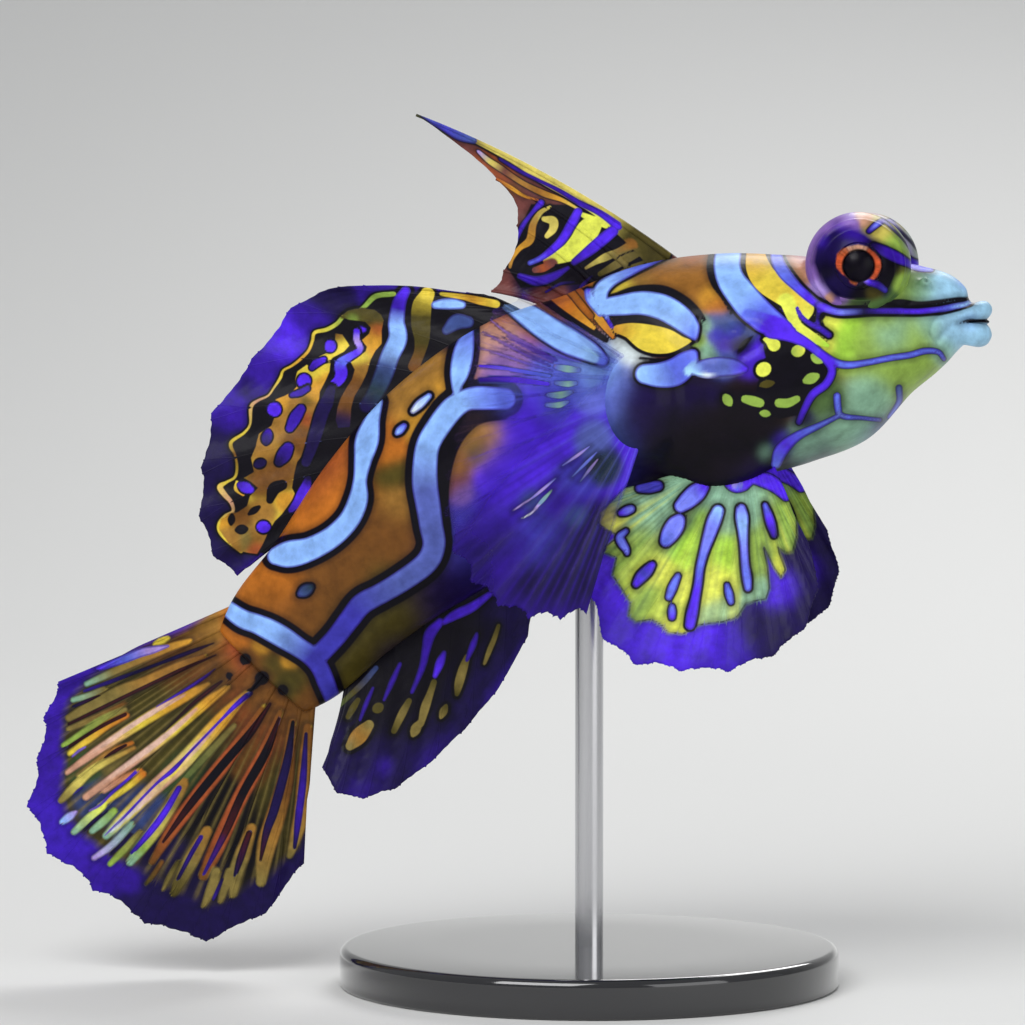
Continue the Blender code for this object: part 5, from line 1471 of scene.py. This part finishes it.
# The green field of the pelvic fin, where it shows through the film that hangs over it.
PELVIC_FIELD = (
    (640, 470), (612, 500), (600, 512), (598, 524), (606, 530), (618, 536), (606, 546), (604, 553),
    (616, 558), (612, 575), (622, 590), (630, 603), (628, 616), (636, 622), (652, 620), (662, 626),
    (668, 633), (684, 634), (694, 627), (706, 624), (724, 622), (738, 617), (746, 604), (756, 601),
    (766, 600), (770, 588), (768, 566), (764, 548), (774, 568), (781, 578), (786, 570), (778, 548),
    (786, 553), (793, 552), (797, 536), (797, 518), (790, 500), (776, 490), (760, 470),
)
PECTORAL_STROKES = (
    ("spot", (DUSK, SEA, DUSK), 0, (5, 7, 5), ((556, 367), (568, 369), (578, 370))),
    ("spot", (DUSK, SEA, DUSK), 0, (4, 6, 4), ((556, 383), (568, 384), (576, 383))),
    ("spot", (DUSK, SEA, DUSK), 0, (4, 7, 4), ((548, 395), (561, 395), (571, 392))),
    ("spot", (DUSK, SEA, DUSK), 0, (4, 6, 4), ((547, 405), (559, 405), (567, 402))),
    ("band", (SKY, SKY, SKY, SKY, SEA), 1, (12, 22, 26, 24, 18, 12), (
        (506, 304), (524, 314), (545, 328), (566, 342), (582, 351), (594, 358))),
    ("band", (PURPLE, VIOLET), 0, (3, 4, 4, 3), ((500, 318), (524, 336), (552, 352), (580, 362))),
    ("spot", (AMBER, PEACH), 0, (3, 6, 6, 3), ((506, 338), (518, 344), (534, 353), (552, 362))),
    ("spot", (HEATHER, PURPLE), 0, (1, 3, 4, 3), ((486, 316), (506, 332), (530, 346), (556, 360))),
    ("spot", (HEATHER, PURPLE), 0, (1, 3, 3, 2), ((478, 330), (500, 341), (524, 354), (550, 366))),
    ("spot", (HEATHER, INDIGO), 0, (1, 3, 3, 2), ((480, 348), (502, 355), (526, 363), (552, 371))),
    ("spot", (VIOLET, BLUE), 0, (3, 4, 4, 3), ((480, 366), (502, 368), (526, 372), (550, 376))),
    ("spot", (PURPLE, VIOLET), 0, (4, 6, 6, 4), ((480, 380), (502, 379), (526, 381), (548, 384))),
    # These thin lilac, pearl and pale blue streaks are painted glints, highlights on the film.
    ("spot", (PERI, LILAC, PERI), 0, (1, 3, 1), ((590, 446), (578, 455), (562, 466))),
    ("spot", (PERI, DUSK), 0, (1, 3, 1), ((597, 452), (586, 463), (572, 477))),
    ("spot", (LILAC, SLATE), 0, (1, 3, 1), ((598, 459), (590, 469), (580, 482))),
    ("spot", (PERI, LILAC, BLUE), 0, (1, 3, 1), ((556, 478), (542, 490), (526, 503))),
    ("spot", (SEA, DUSK), 0, (1, 4, 1), ((552, 490), (543, 500), (533, 511))),
    ("spot", (LILAC,), 0, (1, 2, 1), ((528, 500), (520, 506), (512, 511))),
    ("spot", (LILAC, PEARL), 0, (1, 2, 1), ((538, 508), (530, 514), (521, 519))),
)
PECTORAL_VEILS = (
    (0.08, (452, 430), 22), (0.08, (448, 470), 20), (0.20, (452, 504), 14), (0.18, (462, 345), 24),
    (0.10, (470, 390), 14), (0.50, (500, 350), 14), (0.40, (500, 310), 16), (0.92, (520, 468), 22),
    (0.92, (548, 400), 26), (0.96, (520, 560), 34), (0.55, (470, 570), 22), (0.85, (580, 380), 24),
    (0.12, (480, 428), 14), (0.25, (474, 470), 12), (0.97, (560, 600), 36), (0.85, (570, 480), 20),
)


def tinted_material(name):
    """The fin paint on film that lets light through where its veil is low."""
    material = painted_material(name, 0.50, 0.03, 640.0, 0.20)
    tree = material.node_tree
    veil = add_node(tree, "ShaderNodeAttribute", attribute_name="veil")
    link(tree, (veil, "Fac", tree.nodes["Principled BSDF"], "Alpha"))
    return material


FILM_TINT = tinted_material("tinted fin film")
for side, name in ((RIGHT, "right"), (LEFT, "left")):
    turns = np.radians(np.linspace(PECTORAL_FROM, PECTORAL_TO, len(PECTORAL_TIPS)))
    roots = np.stack([
        PECTORAL_MIDDLE[0] - PECTORAL_SPREAD[0] * np.cos(turns),
        turns * 0 + side * PECTORAL_MIDDLE[1],
        PECTORAL_MIDDLE[2] + PECTORAL_SPREAD[1] * np.sin(turns),
    ], 1)
    fan = (roots, [sided(tip, side) for tip in PECTORAL_TIPS], (0, side * 0.9, 0))
    fin = make_fin(
        "pectoral_film_" + name, fan, cells=15, rows=86, notch=0.05, fringe=0.012, belly=0.14,
        rods=(0.16, 0.05), forks=(0.45, 0.74), spreads=(0.20, 0.10), seed=13, finish=FILM_TINT,
    )
    places = side_plan(points_of(fin.data))
    across, along = value_of(fin.data, "across"), value_of(fin.data, "along")
    ray_half = value_of(fin.data, "ray_half")
    layers = lay_marks(places, PECTORAL_STROKES)
    ground = lay_ground(places, VIOLET, (
        (HEATHER, (492, 345), 18), (PEACH, (516, 354), 9), (RUST, (498, 328), 8), (BLUE, (560, 350), 20),
        (BLUE, (500, 392), 16), (BLUE, (590, 370), 16), (VIOLET, (505, 465), 30), (VIOLET, (540, 430), 24),
        (PURPLE, (480, 520), 20), (INDIGO, (540, 540), 20), (INDIGO, (572, 480), 12),
        (PURPLE, (504, 565), 14),
        (ORANGE, (560, 300), 14), (PURPLE, (600, 340), 10), (PERI, (588, 390), 12), (DUSK, (552, 412), 10),
        (PURPLE, (560, 500), 14), (SLATE, (530, 500), 8), (NIGHT, (566, 560), 26), (NIGHT, (470, 560), 22),
        (NIGHT, (530, 600), 30), (SLATE, (574, 516), 8), (NIGHT, (500, 540), 14), (NIGHT, (590, 600), 20),
        (DUSK, (590, 440), 10), (PURPLE, (520, 545), 10), (GOLD, (474, 434), 16), (TAN, (456, 472), 12),
        (NIGHT, (600, 540), 20), (TEAL, (600, 466), 10), (VIOLET, (500, 455), 22), (DEEP, (500, 520), 20)))
    streak = np.cos(across * math.tau) * 0.5 + 0.5
    fine = np.sin(across * math.tau * 3 + along * 2) * 0.5 + 0.5
    ground = blend_paint(ground, PERI, 0.20 * streak**8 * np.clip(1 - along * 1.1, 0, 1))
    ground = blend_paint(ground, PURPLE, 0.45 * fine**3 * np.clip(along * 2, 0, 1))
    ground = 0.85 * blend_paint(ground, PURPLE, (along - 0.84) * 4)
    store_marks(fin.data, ground, layers)
    veil = lay_ground(places, np.array([0.9]), PECTORAL_VEILS)[:, 0]
    veil = (veil + 0.06 * (ray_half > 0)) * np.clip((1.02 - along) * 8 + (places[:, 1] - 530) / 20, 0.2, 1)
    veil *= np.clip(0.5 + patch_distance(places, PELVIC_FIELD) / 4, 0.12, 1)
    veil = np.maximum(veil, 0.6 * (layers["spot"][0] < 0.5) * (places[:, 1] < 420))
    set_value(fin.data, "veil", np.clip(veil, 0, 1))
    finish_fin(fin, "pectoral_fin_" + name)


# ---- The pelvic fins ----
# A broad rounded fan under each breast, that the fish props itself on and spreads in display. The
# film is green and yellow with blue ovals ringed in navy, and ends in a broad violet hem.

PELVIC_ROOT_FRONT, PELVIC_ROOT_BACK = (12.1, 4.5, 33.4), (6.8, 4.9, 33.0)
PELVIC_TIPS = (
    (14.6, 7.4, 28.9), (15.3, 8.6, 26.2), (14.6, 9.5, 23.7), (12.7, 10.0, 22.0), (9.9, 10.2, 21.0),
    (7.0, 10.2, 21.0), (4.1, 9.9, 21.4), (2.0, 9.3, 22.9), (1.2, 8.9, 25.6), (1.1, 8.7, 28.4),
    (1.5, 8.5, 30.7), (3.0, 8.0, 32.2),
)
PELVIC_STROKES = (
    ("band", (PERI, PERI, VIOLET), 2.2, (13, 17, 18, 12), ((681, 506), (688, 500), (696, 493), (703, 487))),
    ("band", (BLUE, PERI, PERI), 2.2, (12, 17, 18, 12), ((666, 541), (670, 534), (675, 526), (679, 520))),
    ("band", (SKY, PERI, PERI, BLUE, VIOLET, VIOLET, VIOLET), 2.2, (12, 14, 12, 9, 8, 8, 9, 11, 10), (
        (718, 511), (714, 521), (709, 536), (704, 552), (700, 568), (698, 584), (695, 600), (692, 614),
        (690, 625))),
    ("band", (PERI, SKY, PERI, BLUE, BLUE), 2.2, (10, 13, 10, 8, 8, 9, 7), (
        (741, 509), (742, 518), (743, 532), (744, 548), (745, 564), (747, 578), (748, 588))),
    ("band", (BLUE, VIOLET, PURPLE), 2.2, (5, 8, 9, 6), ((765, 505), (768, 514), (771, 524), (774, 535))),
    ("band", (INDIGO,), 2, (9, 12, 10), ((640, 488), (649, 487), (658, 486))),
    ("band", (VIOLET, PERI), 2, (6, 9, 8), ((621, 513), (626, 511), (631, 509))),
    ("band", (BLUE, PERI), 2, (5, 8, 9, 7, 5), ((626, 531), (620, 537), (622, 543), (626, 549), (627, 553))),
    ("band", (VIOLET, INDIGO, VIOLET), 2.2, (7, 11, 11, 7), ((636, 584), (641, 577), (647, 571), (652, 565))),
    ("band", (BLUE,), 1.6, (7, 9, 8, 6), ((669, 597), (672, 589), (675, 582), (678, 576))),
    ("band", (VIOLET, BLUE), 1.6, (7, 8, 6), ((672, 617), (672, 612), (672, 607))),
    ("band", (BLUE,), 1.6, (5, 8, 6), ((727, 585), (729, 594), (731, 602))),
    ("band", (VIOLET,), 1, (9, 20, 15, 9, 15, 14, 10), (
        (728, 472), (734, 481), (742, 484), (752, 480), (764, 480), (776, 486), (786, 496))),
    ("band", (LILAC, BLUE), 0, (4, 5), ((736, 482), (738, 486))),
)
for side, name in ((RIGHT, "right"), (LEFT, "left")):
    roots = [
        sided(np.array(PELVIC_ROOT_FRONT) * (1 - part) + np.array(PELVIC_ROOT_BACK) * part, side)
        for part in np.linspace(0, 1, len(PELVIC_TIPS))
    ]
    fan = (roots, [sided(tip, side) for tip in PELVIC_TIPS], (0, side * 1.1, 0))
    fin = make_fin(
        "pelvic_film_" + name, fan, cells=20, rows=92, notch=0.03, fringe=0.007, belly=0.15,
        rods=(0.20, 0.05), forks=(0.34, 0.60, 0.80), spreads=(0.21, 0.11, 0.05), seed=17, finish=FIN_PAINT,
    )
    places = side_plan(points_of(fin.data))
    across, along = value_of(fin.data, "across"), value_of(fin.data, "along")
    layers = lay_marks(places, PELVIC_STROKES)
    field = patch_distance(places, PELVIC_FIELD)
    inner = lay_ground(places, LEAF, (
        (SEA, (650, 505), 26), (MOSS, (690, 515), 14), (SEA, (725, 500), 20), (LEAF, (640, 545), 16),
        (LEMON, (655, 572), 12), (STRAW, (612, 520), 10), (LIME, (690, 545), 14), (LEMON, (712, 580), 14),
        (LEMON, (708, 590), 10), (LIME, (722, 555), 12), (LEMON, (682, 590), 9), (SEA, (720, 615), 14),
        (LEAF, (650, 600), 14), (LEMON, (676, 626), 9), (LEAF, (752, 560), 16), (SEA, (760, 590), 10),
        (LEAF, (785, 530), 12), (LEMON, (779, 568), 7), (LIME, (704, 520), 8), (MOSS, (655, 545), 8)))
    lanes = np.random.default_rng(31).uniform(0, 1, len(PELVIC_TIPS) * 6)
    lane = np.interp(across * 5, np.arange(len(lanes)), lanes)
    inner = blend_paint(inner, LEMON, 0.7 * lane**2 * np.clip(along * 2 - 0.3, 0, 1))
    fine = np.sin(across * math.tau * 4) * 0.5 + 0.5
    inner = blend_paint(inner, MOSS, 0.5 * (1 - lane) * fine**2 * np.clip(along * 3, 0, 1))
    hem_paint = lay_ground(places, VIOLET, (
        (VIOLET, (680, 650), 34), (DEEP, (620, 640), 26), (VIOLET, (610, 590), 20), (NIGHT, (772, 640), 26),
        (NIGHT, (806, 604), 20), (DEEP, (730, 656), 18), (NIGHT, (815, 560), 22), (VIOLET, (780, 590), 14),
        (PURPLE, (700, 662), 10), (PURPLE, (648, 662), 10)))
    ground = blend_paint(inner, hem_paint, field / 3 + 0.5)
    edge_line = np.abs(field + 0.5) - 0.6
    layers["ink"][0] = np.minimum(layers["ink"][0], edge_line)
    store_marks(fin.data, ground, layers)
    finish_fin(fin, "pelvic_fin_" + name)


# ---- The stand ----
# A plain display stand: a disc of polished black acrylic with a turned edge, and a rod of brushed
# steel that is pressed into the disc and runs up into the belly.

BASE_RADIUS, BASE_THICK, BASE_EDGE = 16.0, 2.5, 0.5
ROD_HALF, ROD_TOP = 0.9, 30.5


def plain_material(name, colour, roughness, metallic, coat, grain_scale, grain_stretch, uneven):
    """A plain material whose roughness varies with a fine stretched grain."""
    material = new_material(name, {
        "Base Color": (*colour, 1.0), "Metallic": metallic, "Coat Weight": coat, "Coat Roughness": 0.06})
    tree = material.node_tree
    place = add_node(tree, "ShaderNodeTexCoord")
    stretch = add_node(tree, "ShaderNodeVectorMath", {1: grain_stretch}, operation="MULTIPLY")
    grain = add_node(tree, "ShaderNodeTexNoise", {"Scale": grain_scale, "Detail": 4.0})
    spread = add_node(
        tree, "ShaderNodeMapRange", {"To Min": roughness - uneven, "To Max": roughness + uneven})
    link(
        tree,
        (place, "Object", stretch, 0), (stretch, "Vector", grain, "Vector"), (grain, "Fac", spread, "Value"),
        (spread, "Result", tree.nodes["Principled BSDF"], "Roughness"),
    )
    return material


base_profile = np.concatenate([
    arc(0.25, BASE_RADIUS - 0.25, 0.25, 180, 90, 8),
    arc(BASE_THICK - BASE_EDGE, BASE_RADIUS - BASE_EDGE, BASE_EDGE, 90, 0, 14),
    ((BASE_THICK, BASE_RADIUS * 0.6), (BASE_THICK, BASE_RADIUS * 0.2)),
])
rod_profile = np.concatenate([
    ((BASE_THICK - 0.4, ROD_HALF), (BASE_THICK, ROD_HALF)),
    [(height, ROD_HALF) for height in np.linspace(BASE_THICK + 0.5, ROD_TOP, 8)],
])
acrylic = plain_material("black acrylic", (0.012, 0.012, 0.014), 0.10, 0.0, 1.0, 300.0, (1, 1, 1), 0.03)
steel = plain_material("brushed steel", (0.60, 0.60, 0.62), 0.24, 1.0, 0.0, 2500.0, (1, 1, 0.04), 0.08)
for node, profile, sides, finish, slot in (
    ("stand_base", base_profile, 256, acrylic, "base"),
    ("stand_rod", rod_profile, 96, steel, "rod"),
):
    piece = turned((0, 0, 0), (0, 0, 1), profile, sides)
    piece.name = node + "_turned"
    piece.data.transform(Matrix.Scale(MM, 4))
    piece.data.set_sharp_from_angle(angle=math.radians(40))
    piece.data.materials.append(finish)
    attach(piece, "root")
    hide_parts(node)


# ---- The studio ----
# A seamless sweep of pale card and three soft lamps, as for a catalogue picture. The camera has a
# long lens and stands at PLAN_EYE, from where the markings were laid out.

SWEEP_FRONT, SWEEP_FLAT, SWEEP_BEND, SWEEP_HIGH, SWEEP_WIDE = -1.2, 0.22, 0.30, 1.4, 1.6
LAMPS_AIM = Vector((-0.006, 0.0, 0.032))
turns = np.radians(np.linspace(0, 90, 33))
profile = [(SWEEP_FRONT, 0.0)]
profile += [(SWEEP_FLAT + SWEEP_BEND * math.sin(turn), SWEEP_BEND * (1 - math.cos(turn))) for turn in turns]
profile += [(SWEEP_FLAT + SWEEP_BEND, SWEEP_HIGH)]
sweep_rows = [[(-SWEEP_WIDE, y, z), (SWEEP_WIDE, y, z)] for y, z in profile]
floor = new_object(
    "floor", np.array(sweep_rows).reshape(-1, 3), grid_faces(len(profile), 2, False).tolist())
floor.data.shade_smooth()
floor.data.materials.append(
    new_material("pale card", {"Base Color": (0.72, 0.72, 0.71, 1.0), "Roughness": 0.85}))
world = bpy.data.worlds.new("studio")
world.use_nodes = True
set_values(world.node_tree.nodes["Background"], {"Color": (0.95, 0.97, 1.0, 1.0), "Strength": 0.32})
bpy.context.scene.world = world
for name, place, power, size in (
    ("key", (-0.10, -0.28, 0.30), 1.25, 0.26),
    ("fill", (0.30, -0.22, 0.12), 0.30, 0.25),
    ("rim", (0.05, 0.30, 0.28), 0.7, 0.20),
):
    lamp = bpy.data.lights.new(name, "AREA")
    lamp.energy = power
    lamp.size = size
    stand = bpy.data.objects.new(name, lamp)
    stand.location = place
    stand.rotation_euler = (LAMPS_AIM - Vector(place)).to_track_quat("-Z", "Y").to_euler()
    bpy.context.scene.collection.objects.link(stand)
camera_data = bpy.data.cameras.new("camera")
camera_data.lens = PLAN_LENS
camera_data.sensor_width = PLAN_FILM
camera_data.clip_start = 0.02
camera_data.clip_end = 20.0
camera = bpy.data.objects.new("camera", camera_data)
camera.location = PLAN_EYE * MM
camera.rotation_euler = Vector(-PLAN_BACK).to_track_quat("-Z", "Y").to_euler()
bpy.context.scene.collection.objects.link(camera)
bpy.context.scene.camera = camera
bpy.context.scene.view_settings.view_transform = "Standard"
